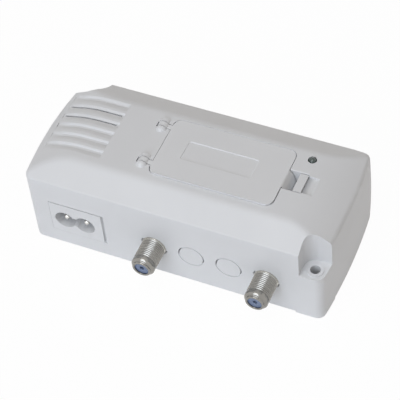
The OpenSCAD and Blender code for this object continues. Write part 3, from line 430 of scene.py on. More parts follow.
def on_plate(x, y, z):
    """Whether a place is on the plate's face, apart from its tight left and lower edges."""
    return y < PLATE_FACE and x > PLATE_LEFT + TIGHT_EDGE and z > PLATE_FOOT + TIGHT_EDGE


ease(inlet, 0.15, wanted=all_at(on_plate))
piece_of(inlet, "inlet_moulding", case_plastic, "case", "inlet_body")
piece_of(clean_skin("inlet_pins"), "inlet_pins_turned", pin_nickel, "case", "inlet_pins")

# Aerial sockets: barrels turned from brass with a rolled 3/8 inch thread, 32 turns to the inch, then
# nickel plated. A flange behind the front wall holds each, a collar fills the wall's hole, and the
# polished nose ends in a lip that turns in over the insulator. The collar's lighter colour is a
# painted reflection of the lit wall.


def turned_ring(profile, steps):
    """Skin of a turned ring round Z, from its closed outline of (radius, height) points in millimetres."""
    skin = bmesh.new()
    turns = [2 * math.pi * i / steps for i in range(steps)]
    rings = [
        [skin.verts.new((radius * math.cos(turn), radius * math.sin(turn), height)) for turn in turns]
        for radius, height in profile
    ]
    for low, high in zip(rings, rings[1:] + rings[:1]):
        for i in range(steps):
            j = (i + 1) % steps
            skin.faces.new((low[i], low[j], high[j], high[i]))
    bmesh.ops.recalc_face_normals(skin, faces=skin.faces)
    return skin


def thread_tree():
    """Nodes that wind a ridge round Z: a helix of given radius, pitch and turns, swept by a square."""
    tree, given, result = tree_with("thread_ridge", (
        ("Root Radius", "Float"), ("Pitch", "Float"), ("Turns", "Float"), ("Ridge Height", "Float"),
        ("Steps a Turn", "Int"), ("Finish", "Material"),
    ))
    helix = placed(
        tree, "GeometryNodeCurveSpiral", Resolution=given["Steps a Turn"], Rotations=given["Turns"],
        Start_Radius=given["Root Radius"], End_Radius=given["Root Radius"],
        Height=sum_of(tree, "MULTIPLY", given["Pitch"], given["Turns"]),
    )
    upright = placed(tree, "GeometryNodeSetCurveNormal", Curve=helix.outputs[0])
    upright.mode = "Z_UP"
    ridge = placed(tree, "GeometryNodeCurvePrimitiveCircle", Resolution=4, Radius=given["Ridge Height"])
    sweep = placed(
        tree, "GeometryNodeCurveToMesh", Curve=upright.outputs[0], Profile_Curve=ridge.outputs[0],
        Fill_Caps=True,
    )
    coated(tree, sweep.outputs[0], given["Finish"], result)
    return tree


def band(tree, value, start, end):
    """Mask that goes from zero to one between two places, in metres."""
    node = tree.nodes.new("ShaderNodeMapRange")
    tree.links.new(value, node.inputs["Value"])
    node.inputs["From Min"].default_value = start
    node.inputs["From Max"].default_value = end
    return node.outputs["Result"]


socket_nickel = plated(
    "socket_nickel", (0.168, 0.161, 0.147), (0.39, 0.377, 0.352), 0.25, streak_scale=1400.0
)
# The collar's lighter colour is a painted reflection of the lit wall, and the nose is smoother than the
# thread.
COLLAR_PAINTED_LIGHT, COLLAR_START, COLLAR_END = (0.62, 0.61, 0.58), -0.0284, -0.0279
NOSE_POLISH, NOSE_START, NOSE_END = -0.14, -0.0361, -0.0364
tree = socket_nickel.node_tree
shader = tree.nodes["Principled BSDF"]
split = tree.nodes.new("ShaderNodeSeparateXYZ")
tree.links.new(tree.nodes.new("ShaderNodeTexCoord").outputs["Object"], split.inputs[0])
plain_nickel = shader.inputs["Base Color"].links[0].from_socket
plain_rough = shader.inputs["Roughness"].links[0].from_socket
# Painted reflection: mask of the lighter band on the collar, by the wall.
collar_painted_light = band(tree, split.outputs["Y"], COLLAR_START, COLLAR_END)
nose = band(tree, split.outputs["Y"], NOSE_START, NOSE_END)
# The base colour is painted lighter over the collar, as a painted reflection.
tree.links.new(blended(tree, collar_painted_light, plain_nickel, COLLAR_PAINTED_LIGHT), shader.inputs["Base Color"])
tree.links.new(sum_of(tree, "MULTIPLY_ADD", nose, NOSE_POLISH, plain_rough), shader.inputs["Roughness"])
# Outline from the spigot in the screening can out to the lip, and back in the bore.
tip_y, nose_y, neck_y, wall_y = -39.5, -36.2, -27.7, -27.4
flange_y, flange_back, can_y, spigot_y = -25.4, -24.2, -23.1, -22.5
mouth_r, bore_r, lip_r, root_r, crest_r = 2.85, 3.3, 3.75, 4.5, 4.76
neck_r, flange_r, spigot_r = 4.9, 6.0, 4.16
outline = [
    (bore_r, spigot_y), (spigot_r, spigot_y), (spigot_r, can_y), (neck_r, can_y), (neck_r, flange_back),
    (flange_r, flange_back), (flange_r, flange_y), (neck_r, flange_y), (neck_r, wall_y),
    (crest_r, wall_y), (crest_r, neck_y), (root_r, neck_y), (root_r, nose_y),
    (crest_r - 0.1, nose_y - 0.12), (crest_r, nose_y - 0.3),
    (crest_r, tip_y + 1.7), (crest_r - 0.06, tip_y + 1.45), (crest_r - 0.22, tip_y + 1.2),
    (crest_r - 0.5, tip_y + 0.98), (lip_r + 0.12, tip_y + 0.8), (lip_r, tip_y + 0.68),
    (lip_r, tip_y + 0.16), (lip_r - 0.05, tip_y + 0.05), (lip_r - 0.14, tip_y), (mouth_r + 0.16, tip_y),
    (mouth_r + 0.05, tip_y + 0.06), (mouth_r, tip_y + 0.2), (mouth_r, tip_y + 0.45), (bore_r, tip_y + 0.5),
]
thread = thread_tree()
ridge_sizes = {
    "Root Radius": root_r, "Pitch": 0.794, "Turns": 10.5, "Ridge Height": crest_r - root_r,
    "Steps a Turn": 56, "Finish": socket_nickel,
}
RIDGE_START, BARREL_STEPS = 0.05, 72
SOCKET_PLACES, SOCKET_Z = {"left": -7.7, "right": 38.5}, 15.8
for side, socket_x in SOCKET_PLACES.items():
    barrel = turned_ring([(radius, -y) for radius, y in outline], BARREL_STEPS)
    ridge = grown(thread, ridge_sizes, "thread_" + side)
    ridge.transform(Matrix.Translation((0, 0, RIDGE_START - neck_y)))
    barrel.from_mesh(ridge)
    bmesh.ops.transform(
        barrel, verts=barrel.verts,
        matrix=Matrix.Translation((socket_x, 0, SOCKET_Z)) @ Matrix.Rotation(math.pi / 2, 4, "X"),
    )
    piece_of(
        barrel, "aerial_barrel_" + side, socket_nickel, "case", "aerial_socket_" + side
    )

# Insulators and contacts: blue polyethylene plugs pressed into the barrels, each round a brass tube
# that grips the cable's core.

insulator_blue = moulded("insulator_blue", (0.14, 0.19, 0.32), (0.19, 0.25, 0.39), 0.34, 1400.0)
contact_brass = plated("contact_brass", (0.45, 0.32, 0.12), (0.66, 0.5, 0.24), 0.25)
for side in ("left", "right"):
    plug = clean_skin("socket_insulator_" + side)
    ease(plug, 0.2, 3)
    piece_of(
        plug, "insulator_" + side, insulator_blue, "case", "socket_insulator_" + side
    )
    wear("socket_contact_" + side, contact_brass)

# Indicator lamp: a round-topped lamp of tinted clear resin that stands on a white spacer tube and
# shows through a hole in the top.

lamp_green = moulded("lamp_green", (0.022, 0.04, 0.034), (0.04, 0.066, 0.056), 0.12, 600.0, 0.000004)
lamp_shader = lamp_green.node_tree.nodes["Principled BSDF"]
lamp_shader.inputs["Coat Weight"].default_value = 0.6
spacer_white = moulded("spacer_white", (0.7, 0.7, 0.67), (0.76, 0.76, 0.73), 0.5)
LAMP_X, LAMP_Y, LAMP_SHARE = 42.3, 12.9, 0.92


def draw_to_lamp(vert):
    """Moves a corner towards the lamp's axis."""
    vert.co.x = LAMP_X + LAMP_SHARE * (vert.co.x - LAMP_X)
    vert.co.y = LAMP_Y + LAMP_SHARE * (vert.co.y - LAMP_Y)


lens = clean_skin("indicator_lamp")
for vert in lens.verts:
    draw_to_lamp(vert)
piece_of(lens, "indicator_lens", lamp_green, "case", "indicator_lamp")
wear("lamp_spacer", spacer_white)

# Top housing: one white moulding with long bevels, rolled and bowed ends, louvres, notched fixing ears
# and the well for the adjusters. Its outer edges are rounded as they leave the mould, its right end
# swells a little at the back, and its left end draws in towards the notch behind it.

HALF_LEN, HALF_DEPTH, WALL_Z, TOP_Z = 62.2, 27.5, 35.8, 41.4
ROLL_RUN, BEVEL_RUN, END_BOW, CORNER_R = 19.5, 10.4, 1.6, 3.5
DROP = TOP_Z - WALL_Z
ROLL_X, ROLL_R = HALF_LEN - ROLL_RUN, (ROLL_RUN**2 + DROP**2) / (2 * DROP)
BEVEL_SLOPE = math.atan2(DROP, BEVEL_RUN)
BOW_R = (HALF_DEPTH**2 + END_BOW**2) / (2 * END_BOW)
# Runs over which the long ridges and the shoulders are rounded, the latter more at the ends.
RIDGE_RUN, SHOULDER_RUN, END_RUN, END_START, END_FULL = 0.9, 0.3, 1.3, 54.0, 60.0
# The left end's shoulder is crisper in its middle.
CRISP, CRISP_START, CRISP_FULL = 0.7, 22.0, 12.0
# A corner this near to the outer form is on it, and one this near to a field is in it.
ON_SKIN, IN_FIELD, SHALLOW = 0.03, 0.1, 0.05


def share_of(value, start, full):
    """How far values are on the way from start to full, from nought to one."""
    return np.clip((value - start) / (full - start), 0, 1)


def meeting(first, second, run):
    """Outer of two heights, eased over a run where they meet."""
    run = np.maximum(run, 1e-9)
    return np.maximum(first, second) + np.maximum(run - np.abs(first - second), 0) ** 2 / (4 * run)


def over_roll(points):
    """Height of points over the top and its rolled ends."""
    x, z = np.abs(points[:, 0]), points[:, 2]
    return np.where(x > ROLL_X, np.hypot(x - ROLL_X, z - TOP_Z + ROLL_R) - ROLL_R, z - TOP_Z)


def over_skin(points, ridge_run=0.0, shoulder_run=0.0, end_run=0.0):
    """Height of points over the case's outer form, whose ridges are eased over the given runs.

    The shoulders have their own run at the ends, shorter in the middle of the left end.
    """
    x, y, z = np.abs(points[:, 0]), np.abs(points[:, 1]), points[:, 2]
    bevel = (y - HALF_DEPTH) * math.sin(BEVEL_SLOPE) + (z - WALL_Z) * math.cos(BEVEL_SLOPE)
    bow_x, fillet_y = HALF_LEN - BOW_R, HALF_DEPTH - CORNER_R
    fillet_x = bow_x + math.sqrt((BOW_R - CORNER_R) ** 2 - fillet_y**2)
    swing = math.atan2(fillet_y, fillet_x - bow_x)
    u, v = x - fillet_x, y - fillet_y
    corner = (u > 0) & (v * math.cos(swing) > u * math.sin(swing))
    walls = np.maximum(y - HALF_DEPTH, np.hypot(x - bow_x, y) - BOW_R)
    walls = np.where(corner, np.hypot(u, v) - CORNER_R, walls)
    crisp = np.where(points[:, 0] < 0, CRISP * share_of(y, CRISP_START, CRISP_FULL), 0)
    own_run = (end_run * (1 - crisp) - shoulder_run) * share_of(x, END_START, END_FULL)
    return meeting(meeting(over_roll(points), bevel, ridge_run), walls, shoulder_run + own_run)


def eased_form(points):
    """Height of points over the eased outer form, and its slope there."""
    runs, step = (RIDGE_RUN, SHOULDER_RUN, END_RUN), 1e-4
    height = over_skin(points, *runs)
    slope = np.stack([(over_skin(points + step * axis, *runs) - height) / step for axis in np.eye(3)], 1)
    return height, slope


def places_of(verts):
    """Places of a skin's corners, as rows."""
    return np.array([vert.co for vert in verts], float).reshape(-1, 3)


def cut_faces(skin, faces, normal, place):
    """Cuts faces along a plane, and gives the corners on the cut."""
    parts = {part for face in faces for part in (face, *face.edges, *face.verts)}
    cut = bmesh.ops.bisect_plane(
        skin, geom=list(parts), dist=0.0005, plane_co=Vector(normal) * place, plane_no=normal
    )
    return [part for part in cut["geom_cut"] if isinstance(part, bmesh.types.BMVert)]


def cut_across(skin, layer, normal, places, near=None):
    """Cuts the marked faces along planes, so that the shaping has rows of corners to move."""
    for place in places:
        faces = [face for face in skin.faces if face[layer] and (near is None or near(face))]
        cut_faces(skin, faces, normal, place)


# Louvres: grooves that are deeper behind than in front, and run out on the rolled end.
LOUVRE_COUNT, LOUVRE_PITCH, LOUVRE_Y, LOUVRE_HALF = 6, 5.05, 1.15, 14.7
LOUVRE_ROWS = [LOUVRE_Y + (i - (LOUVRE_COUNT - 1) / 2) * LOUVRE_PITCH for i in range(LOUVRE_COUNT)]
LOUVRE_END, LOUVRE_START, LOUVRE_FULL, LOUVRE_LOW, LOUVRE_STEP = -58.8, -34.2, -52.8, 30.0, 1.2
LOUVRE_ACROSS, LOUVRE_DEPTHS = (-2.0, -0.5, 0.5, 1.4, 2.0), (0.0, 0.3, 0.85, 0.85, 0.0)


def in_louvres(x, y, z):
    """Whether a place is in the louvres' field of the top."""
    return (
        LOUVRE_END - IN_FIELD < x < LOUVRE_START + IN_FIELD
        and abs(y - LOUVRE_Y) < LOUVRE_HALF and z > LOUVRE_LOW
    )


def zip_strip(skin, front_y, back_y):
    """Gives the strip between two grooves even faces across."""
    def in_strip(x, y, z):
        return front_y - NEAR < y < back_y + NEAR and in_louvres(x, y, z)

    old = [
        face for face in skin.faces
        if all(in_strip(*vert.co) for vert in face.verts)
        and np.abs(over_roll(places_of(face.verts))).max() < ON_SKIN
    ]
    verts = sorted({vert for face in old for vert in face.verts}, key=lambda vert: vert.co.x)
    front = [vert for vert in verts if vert.co.y < front_y + NEAR]
    back = [vert for vert in verts if vert.co.y > back_y - NEAR]
    if len(front) + len(back) < len(verts) or min(len(front), len(back)) < 2:
        return
    bmesh.ops.delete(skin, geom=old, context="FACES_KEEP_BOUNDARY")
    i = j = 0
    while i + 1 < len(front) or j + 1 < len(back):
        if j + 1 == len(back) or i + 1 < len(front) and front[i + 1].co.x <= back[j + 1].co.x:
            skin.faces.new((front[i], front[i + 1], back[j]))
            i += 1
        else:
            skin.faces.new((front[i], back[j + 1], back[j]))
            j += 1


def fade_louvres(skin):
    """Gives the louvre grooves even rows of corners and lets them run out towards the end."""
    layer = skin.faces.layers.int.new("louvre")
    deepest = max(LOUVRE_DEPTHS) + SHALLOW
    for face in skin.faces:
        depth = -over_roll(places_of(face.verts))
        inside = all(in_louvres(*vert.co) for vert in face.verts)
        face[layer] = int(inside and -ON_SKIN < depth.min() and SHALLOW < depth.max() < deepest)
    cut_across(skin, layer, (1, 0, 0), [LOUVRE_START - LOUVRE_STEP * i for i in range(1, 21)])
    for vert in {vert for face in skin.faces if face[layer] for vert in face.verts}:
        row = min(LOUVRE_ROWS, key=lambda y: abs(vert.co.y - y))
        run = share_of(vert.co.x, LOUVRE_END, LOUVRE_FULL)
        depth = np.interp(vert.co.y - row, LOUVRE_ACROSS, LOUVRE_DEPTHS) * run * (2 - run)
        outward = Vector((min(vert.co.x + ROLL_X, 0), 0, vert.co.z - TOP_Z + ROLL_R)).normalized()
        vert.co -= outward * (depth + over_roll(places_of([vert]))[0])
    for row in LOUVRE_ROWS[:-1]:
        zip_strip(skin, row + LOUVRE_ACROSS[-1], row + LOUVRE_PITCH + LOUVRE_ACROSS[0])
    bmesh.ops.dissolve_degenerate(skin, dist=0.01, edges=skin.edges)


LAMP_HOLE = 3.2
# The sockets' holes have two side notches each, turned out of the level.
HOLE_FIELD, PLAIN_HOLE, WALL_INSIDE = 6.3, 5.2, -25.0
HOLE_SHARE, HOLE_TURN, TURN_START, TURN_FULL = 0.93, math.radians(-22), 60.0, 15.0


def fit_holes(skin):
    """Draws the lamp's hole in to its lens, and turns and shortens the side notches of the sockets' holes."""
    for vert in skin.verts:
        if vert.co.z > WALL_Z and math.hypot(vert.co.x - LAMP_X, vert.co.y - LAMP_Y) < LAMP_HOLE:
            draw_to_lamp(vert)
        for socket_x in SOCKET_PLACES.values():
            out, rise = vert.co.x - socket_x, vert.co.z - SOCKET_Z
            reach = math.hypot(out, rise)
            if vert.co.y < WALL_INSIDE and reach < HOLE_FIELD:
                away = math.degrees(math.atan2(abs(rise), abs(out)))
                turn = math.atan2(rise, out) + HOLE_TURN * share_of(away, TURN_START, TURN_FULL)
                reach *= HOLE_SHARE if reach > PLAIN_HOLE else 1
                vert.co.x = socket_x + reach * math.cos(turn)
                vert.co.z = SOCKET_Z + reach * math.sin(turn)


# The finger ramp beside the latch's slot: its foot, its sides and the knee of its floor.
RAMP_FOOT_X, RAMP_FOOT_Z, RAMP_RAISE, RAMP_FRONT, RAMP_BACK = 43.85, 39.0, 1.5, -3.85, 5.65
RAMP_KNEE_X, RAMP_KNEE_Z = 47.2, 40.35


def in_ramp(x, y, z):
    """Whether a place is in the finger ramp or on its rim."""
    along = x > RAMP_FOOT_X - IN_FIELD and z > RAMP_FOOT_Z
    return along and RAMP_FRONT - IN_FIELD < y < RAMP_BACK + IN_FIELD


def level_ramp(skin):
    """Raises the ramp's foot and gives its floor a knee, so that it lies nearly level up to its end."""
    for vert in skin.verts:
        if abs(vert.co.x - RAMP_FOOT_X) < NEAR and abs(vert.co.z - RAMP_FOOT_Z) < NEAR:
            vert.co.z += RAMP_RAISE
    ramp = [face for face in skin.faces if all(in_ramp(*vert.co) for vert in face.verts)]
    for vert in cut_faces(skin, ramp, (1, 0, 0), RAMP_KNEE_X):
        if over_roll(places_of([vert]))[0] < -SHALLOW:
            vert.co.z = RAMP_KNEE_Z


# Fields of the top and the front wall in which rims are rounded.
SLOT_LEFT, WELL_LEFT, WELL_RIGHT, WELL_BACK, BACK_LEFT, BACK_RIGHT = 36.0, -26.0, 36.3, 14.0, -12.0, 33.0
SLIT_LEFT, SLIT_RIGHT, SLIT_LOW, SLIT_HIGH = -29.0, -28.0, 5.0, 26.0
RINGS_LEFT, RINGS_RIGHT, RINGS_LOW, RINGS_HIGH = 0.0, 31.0, 8.0, 23.0
NOTCH_X, NOTCH_Y, NOTCH_Z = 47.5, 17.1, 24.0


def on_slot(x, y, z):
    """Whether a place is on the back edge of the latch's slot."""
    along = SLOT_LEFT < x < RAMP_FOOT_X + IN_FIELD and z > TOP_Z - IN_FIELD
    return along and abs(y - RAMP_BACK) < NEAR


def on_well(x, y, z):
    """Whether a place is on the rim of the well or of the hinges, apart from the back edge."""
    return abs(z - TOP_Z) < NEAR and WELL_LEFT < x < WELL_RIGHT and y < WELL_BACK


def on_well_back(x, y, z):
    """Whether a place is on the back edge of the well."""
    return abs(z - TOP_Z) < NEAR and BACK_LEFT < x < BACK_RIGHT and y > WELL_BACK


def on_slit(x, y, z):
    """Whether a place is on the rim of the slit beside the inlet."""
    return y < NEAR - HALF_DEPTH and SLIT_LEFT < x < SLIT_RIGHT and SLIT_LOW < z < SLIT_HIGH


def on_knock_outs(x, y, z):
    """Whether a place is on the rings of the two knock-out discs."""
    return y < NEAR - HALF_DEPTH and RINGS_LEFT < x < RINGS_RIGHT and RINGS_LOW < z < RINGS_HIGH


def on_notch(x, y, z):
    """Whether a place is on the rim of a corner notch."""
    beside = abs(x) > NOTCH_X and x * y < 0 and abs(y) > NOTCH_Y - IN_FIELD
    return beside and z > NOTCH_Z - IN_FIELD and abs(over_skin(np.array([[x, y, z]]))[0]) < ON_SKIN


# Forming of the ends: the right one swells and the left one draws in.
ROLL_SLACK, ROLL_MARGIN, SHAPE_START, SWELL = 0.6, 2.0, 50.0, 0.75
DRAW_IN, DRAW_CURVE, DRAW_DEPTH = 1.1, 1.25, 1.2


def mark_outer(skin):
    """Marks the faces of the case's outer form in a layer."""
    skin.verts.index_update()
    on_skin = np.abs(over_skin(places_of(skin.verts))) < ON_SKIN
    layer = skin.faces.layers.int.new("outer")
    for face in skin.faces:
        face[layer] = int(all(on_skin[vert.index] for vert in face.verts))
    return layer


def on_ends(face):
    """Whether a face is on a rolled end."""
    return abs(face.verts[0].co.x) > ROLL_X - ROLL_MARGIN


def on_far_end(face):
    """Whether a face is at the back of the right end."""
    middle = face.calc_center_median()
    return middle.x > SHAPE_START and middle.y > 0


def cut_rows(skin, layer):
    """Cuts rows of corners into the outer faces, close ones at the ridges, shoulders and ends."""
    rows, top_y = (0.3, 0.65, 1.05, 1.5, 2.0), HALF_DEPTH - BEVEL_RUN
    shoulder_y = [HALF_DEPTH - row * math.cos(BEVEL_SLOPE) for row in rows]
    ridge_y = [top_y + row * side for row in rows for side in (1, -1)]
    end_x = [HALF_LEN - 0.4 * i for i in range(1, 15)] + [HALF_LEN - 5.6 - 1.3 * i for i in range(1, 11)]
    bevel_y = [top_y + 2.6 + 0.7 * i for i in range(9)]
    end_z = [WALL_Z + 0.3 * i for i in range(9)] + [WALL_Z - 2.6]
    swell_z = [WALL_Z * i / 10 for i in range(1, 10)]
    swell_y = [HALF_DEPTH * i / 10 for i in range(1, 8)]
    cut_across(skin, layer, (0, 0, 1), [WALL_Z - row for row in rows])
    for way in (-1, 1):
        cut_across(skin, layer, (0, way, 0), shoulder_y + ridge_y)
        cut_across(skin, layer, (way, 0, 0), end_x)
    for way in (-1, 1):
        cut_across(skin, layer, (0, way, 0), bevel_y, on_ends)
    cut_across(skin, layer, (0, 0, 1), end_z, on_ends)
    cut_across(skin, layer, (0, 0, 1), swell_z, on_far_end)
    cut_across(skin, layer, (0, 1, 0), swell_y, on_far_end)


def round_form(skin):
    """Rounds the long ridges, the rolled ends and the shoulders of the case, and swells its right end."""
    layer = mark_outer(skin)
    cut_rows(skin, layer)
    outer = list({vert for face in skin.faces if face[layer] for vert in face.verts})
    points = places_of(outer)
    for _ in range(4):
        height, slope = eased_form(points)
        rolled = (height > -ROLL_SLACK) & (np.abs(points[:, 0]) > ROLL_X) & (points[:, 2] > WALL_Z)
        push = np.where((height > 1e-4) | rolled, height, 0) / np.maximum((slope**2).sum(1), 1e-6)
        points -= slope * push[:, None]
    level = np.clip(2 * points[:, 2] / WALL_Z - 1, -1, 1)
    reach = share_of(points[:, 0], SHAPE_START, HALF_LEN)
    points[:, 0] += SWELL * (1 - level**2) * reach * share_of(points[:, 1], 0, HALF_DEPTH) ** 2
    for vert, point in zip(outer, points):
        vert.co = point


def draw_in_left(skin):
    """Draws the outer skin of the left end, louvres and all, in towards the notch behind it."""
    points = places_of(skin.verts)
    reach = share_of(-points[:, 0], SHAPE_START, HALF_LEN)
    behind = share_of(points[:, 1], 0, NOTCH_Y) ** DRAW_CURVE
    above = share_of(points[:, 2], NOTCH_Z, WALL_Z)
    shift = DRAW_IN * reach * behind * above * (over_skin(points) > -DRAW_DEPTH)
    for vert, way in zip(skin.verts, shift):
        vert.co.x += way


def shade_form(piece):
    """Shades the outer faces of the case by the slope of its form, whatever their triangles."""
    mesh = piece.data
    outer = np.zeros(len(mesh.polygons), int)
    mesh.attributes["outer"].data.foreach_get("value", outer)
    sizes, flat = np.zeros(len(mesh.polygons), int), np.zeros(3 * len(mesh.polygons))
    mesh.polygons.foreach_get("loop_total", sizes)
    mesh.polygons.foreach_get("normal", flat)
    flat = np.repeat(flat.reshape(-1, 3), sizes, 0)
    corners, places = np.zeros(len(mesh.loops), int), np.zeros(3 * len(mesh.vertices))
    mesh.loops.foreach_get("vertex_index", corners)
    mesh.vertices.foreach_get("co", places)
    normals = np.zeros(3 * len(mesh.loops))
    mesh.corner_normals.foreach_get("vector", normals)
    normals = normals.reshape(-1, 3)
    slope = eased_form(1000 * places.reshape(-1, 3)[corners])[1]
    slope /= np.maximum(np.linalg.norm(slope, axis=1, keepdims=True), 1e-6)
    known = (np.repeat(outer, sizes) > 0) & ((slope * flat).sum(1) > 0.9)
    mesh.normals_split_custom_set(np.where(known[:, None], slope, normals).tolist())


housing = clean_skin("top_housing")
fit_holes(housing)
level_ramp(housing)
fade_louvres(housing)
for width, steps, test in (
    (0.5, 2, on_slot), (0.15, 2, on_well), (0.5, 3, on_well_back),
    (0.12, 2, on_slit), (0.12, 2, on_knock_outs), (0.3, 5, on_notch),
):
    ease(housing, width, steps, all_at(test))
round_form(housing)
draw_in_left(housing)
shade_form(piece_of(
    housing, "top_housing_moulding", case_plastic, "case", "top_housing", plain=in_louvres
))

# Access flap: a thin moulded lid that turns on two knuckles and carries a sunk panel. Its front edge stands
# proud, and the web of its spring bends down at the free edge to the latch.

FLAP_Y, FLAP_HALF, FLAP_LEFT, FLAP_RIGHT, FLAP_LOW = 0.7, 14.1, -14.2, 35.8, 2.5
# How far each edge stands wider, and how the upper face rises and tilts.
SIDE_SPREAD, SPREAD_START, LEFT_SPREAD, RIGHT_SPREAD = 0.27, 9.0, 0.2, 0.13
FLAP_RISE, FLAP_TILT, RISE_START, RISE_FULL = 0.35, 0.55, -14.0, -11.0
HINGE_CLEAR, UPPER_Z = 0.3, TOP_Z - 0.5
flap_plastic = moulded("flap_plastic", (0.74, 0.75, 0.765), (0.8, 0.81, 0.825), 0.44)
flap = clean_skin("access_flap")
for vert in flap.verts:
    off = vert.co.y - FLAP_Y
    if abs(vert.co.x - FLAP_LEFT) < NEAR:
        vert.co.x -= LEFT_SPREAD
    if abs(vert.co.x - FLAP_RIGHT) < NEAR and vert.co.z > TOP_Z - FLAP_LOW:
        vert.co.x += RIGHT_SPREAD
    if vert.co.x > FLAP_LEFT + HINGE_CLEAR:
        if abs(off) > SPREAD_START:
            vert.co.y += math.copysign(SIDE_SPREAD * share_of(abs(off), SPREAD_START, FLAP_HALF), off)
        if vert.co.z > UPPER_Z:
            rise = FLAP_RISE - FLAP_TILT * off / FLAP_HALF
            vert.co.z += rise * share_of(vert.co.x, RISE_START, RISE_FULL)
# Fields of the sunk panel and of the rim.
PANEL_LEFT, PANEL_RIGHT, PANEL_HALF, RIM_HALF, RIM_LOW = -6.0, 25.0, 8.0, 13.0, 0.32


def on_panel(x, y, z):
    """Whether a place is on the rim of the flap's sunk panel."""
    return z > TOP_Z - RIM_LOW and abs(y - FLAP_Y) < PANEL_HALF and PANEL_LEFT < x < PANEL_RIGHT


def on_rim(x, y, z):
    """Whether a place is on the flap's upper rim, apart from the back edge."""
    beside = abs(y - FLAP_Y) < RIM_HALF and not PANEL_LEFT < x < PANEL_RIGHT
    return z > TOP_Z - RIM_LOW and (y - FLAP_Y < -PANEL_HALF or beside)


ease(flap, 0.25, 3, all_at(on_panel))
ease(flap, 0.2, 3, all_at(on_rim))
piece_of(flap, "access_flap_moulding", flap_plastic, "flap", "access_flap")

# Flap latch: the thumb tab on the flap's spring, moulded in the case's plastic. It bends at its heel to
# let the flap go, and all its edges are rounded for the thumb.

TAB_RIGHT, TAB_SPREAD, TAB_BACK, BACK_SPREAD = 43.4, 0.32, 5.2, 0.3
latch = clean_skin("flap_latch")
for vert in latch.verts:
    if vert.co.y > TAB_BACK - NEAR and vert.co.z > UPPER_Z:
        vert.co.y += BACK_SPREAD
    if vert.co.x > TAB_RIGHT - NEAR:
        vert.co.x += TAB_SPREAD
ease(latch, 0.2, 5)
piece_of(latch, "flap_latch_moulding", case_plastic, "latch", "flap_latch")

# Studio: a pale paper floor that shows white to the camera, plain soft light from the front and above with
# a small warm one behind, and the camera of the photograph.


def shows_white(tree):
    """One for camera, glossy and transmitted rays, which see the white background."""
    path = tree.nodes.new("ShaderNodeLightPath").outputs
    seen = sum_of(tree, "MAXIMUM", path["Is Camera Ray"], path["Is Glossy Ray"])
    return sum_of(tree, "MAXIMUM", seen, path["Is Transmission Ray"])


FLOOR_HALF, FLOOR_Z, FLOOR_GLOW = 3.0, -0.0002, 0.97
floor_mesh = bpy.data.meshes.new("studio_floor")
corners = [(x * FLOOR_HALF, y * FLOOR_HALF, FLOOR_Z) for x, y in ((-1, -1), (1, -1), (1, 1), (-1, 1))]
floor_mesh.from_pydata(corners, [], [(0, 1, 2, 3)])
floor = bpy.data.objects.new("studio_floor", floor_mesh)
bpy.context.scene.collection.objects.link(floor)
floor_paper = bpy.data.materials.new("floor_paper")
floor_paper.use_nodes = True
tree = floor_paper.node_tree
tree.nodes["Principled BSDF"].inputs["Base Color"].default_value = (0.93, 0.93, 0.93, 1)
tree.nodes["Principled BSDF"].inputs["Roughness"].default_value = 0.9
glow = tree.nodes.new("ShaderNodeEmission")
share = tree.nodes.new("ShaderNodeMixShader")
tree.links.new(sum_of(tree, "MULTIPLY", shows_white(tree), FLOOR_GLOW), share.inputs["Fac"])
tree.links.new(tree.nodes["Principled BSDF"].outputs["BSDF"], share.inputs[1])
tree.links.new(glow.outputs["Emission"], share.inputs[2])
tree.links.new(share.outputs["Shader"], tree.nodes["Material Output"].inputs["Surface"])
floor_mesh.materials.append(floor_paper)

scene = bpy.context.scene
scene.view_settings.view_transform = "Standard"
scene.world = bpy.data.worlds.new("studio")
scene.world.use_nodes = True
tree = scene.world.node_tree
fill = tree.nodes["Background"]
FILL_LEVEL, FILL_COLOUR = 0.255, (1.0, 0.9, 0.8)
white_rays = shows_white(tree)
tree.links.new(sum_of(tree, "MAXIMUM", white_rays, FILL_LEVEL), fill.inputs["Strength"])
tree.links.new(blended(tree, white_rays, FILL_COLOUR, (1, 1, 1)), fill.inputs["Color"])


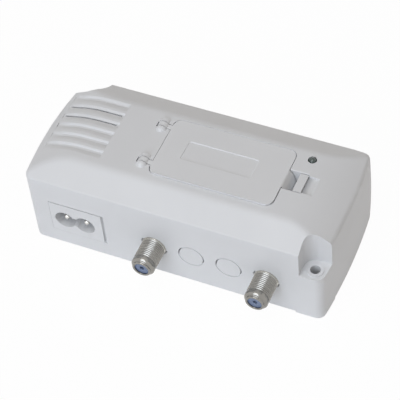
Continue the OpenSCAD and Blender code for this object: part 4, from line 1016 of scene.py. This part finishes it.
LIGHT_AIM = Vector((0, 0, 0.02))


def softbox(name, place, size, power, colour):
    """Square soft light at a place, in metres, that faces the amplifier."""
    lamp = bpy.data.lights.new(name, "AREA")
    lamp.size = size
    lamp.energy = power
    lamp.color = colour
    box = bpy.data.objects.new(name, lamp)
    box.location = place
    box.rotation_euler = (LIGHT_AIM - Vector(place)).to_track_quat("-Z", "Y").to_euler()
    scene.collection.objects.link(box)


softbox("front_light", (-0.15, -1.15, 0.6), 0.8, 5.9, (0.815, 0.89, 1.0))
softbox("top_light", (-0.1, -0.35, 1.25), 0.8, 5.95, (0.94, 0.967, 1.0))
softbox("side_light", (0.76, 0.67, 0.64), 0.09, 0.13, (1.0, 0.92, 0.84))

# The camera's turn, height, roll and place were solved from the case's edges in the photograph.
AZIMUTH, ELEVATION, ROLL = math.radians(28.168), math.radians(50.675), math.radians(-6.564)
SIDE_MM, UP_MM, DISTANCE_MM = 16.459, 26.917, 669.141
SOLVED_FRAME_MM = Vector((-7.7, -27.45, 0.8))
FOCAL_PX, IMAGE_PX, SENSOR_MM = 1718.972, 400, 36.0
back = Vector((
    math.sin(AZIMUTH) * math.cos(ELEVATION), -math.cos(AZIMUTH) * math.cos(ELEVATION), math.sin(ELEVATION)
))
level = Vector((math.cos(AZIMUTH), math.sin(AZIMUTH), 0))
rise = back.cross(level)
right = level * math.cos(ROLL) + rise * math.sin(ROLL)
up = rise * math.cos(ROLL) - level * math.sin(ROLL)
station = (right * SIDE_MM + up * UP_MM + back * DISTANCE_MM + SOLVED_FRAME_MM) / 1000
camera_data = bpy.data.cameras.new("camera")
camera_data.sensor_width = SENSOR_MM
camera_data.lens = FOCAL_PX * SENSOR_MM / IMAGE_PX
camera_data.clip_start = 0.01
camera = bpy.data.objects.new("camera", camera_data)
camera.matrix_world = Matrix((
    (right.x, up.x, back.x, station.x),
    (right.y, up.y, back.y, station.y),
    (right.z, up.z, back.z, station.z),
    (0, 0, 0, 1),
))
scene.collection.objects.link(camera)
scene.camera = camera
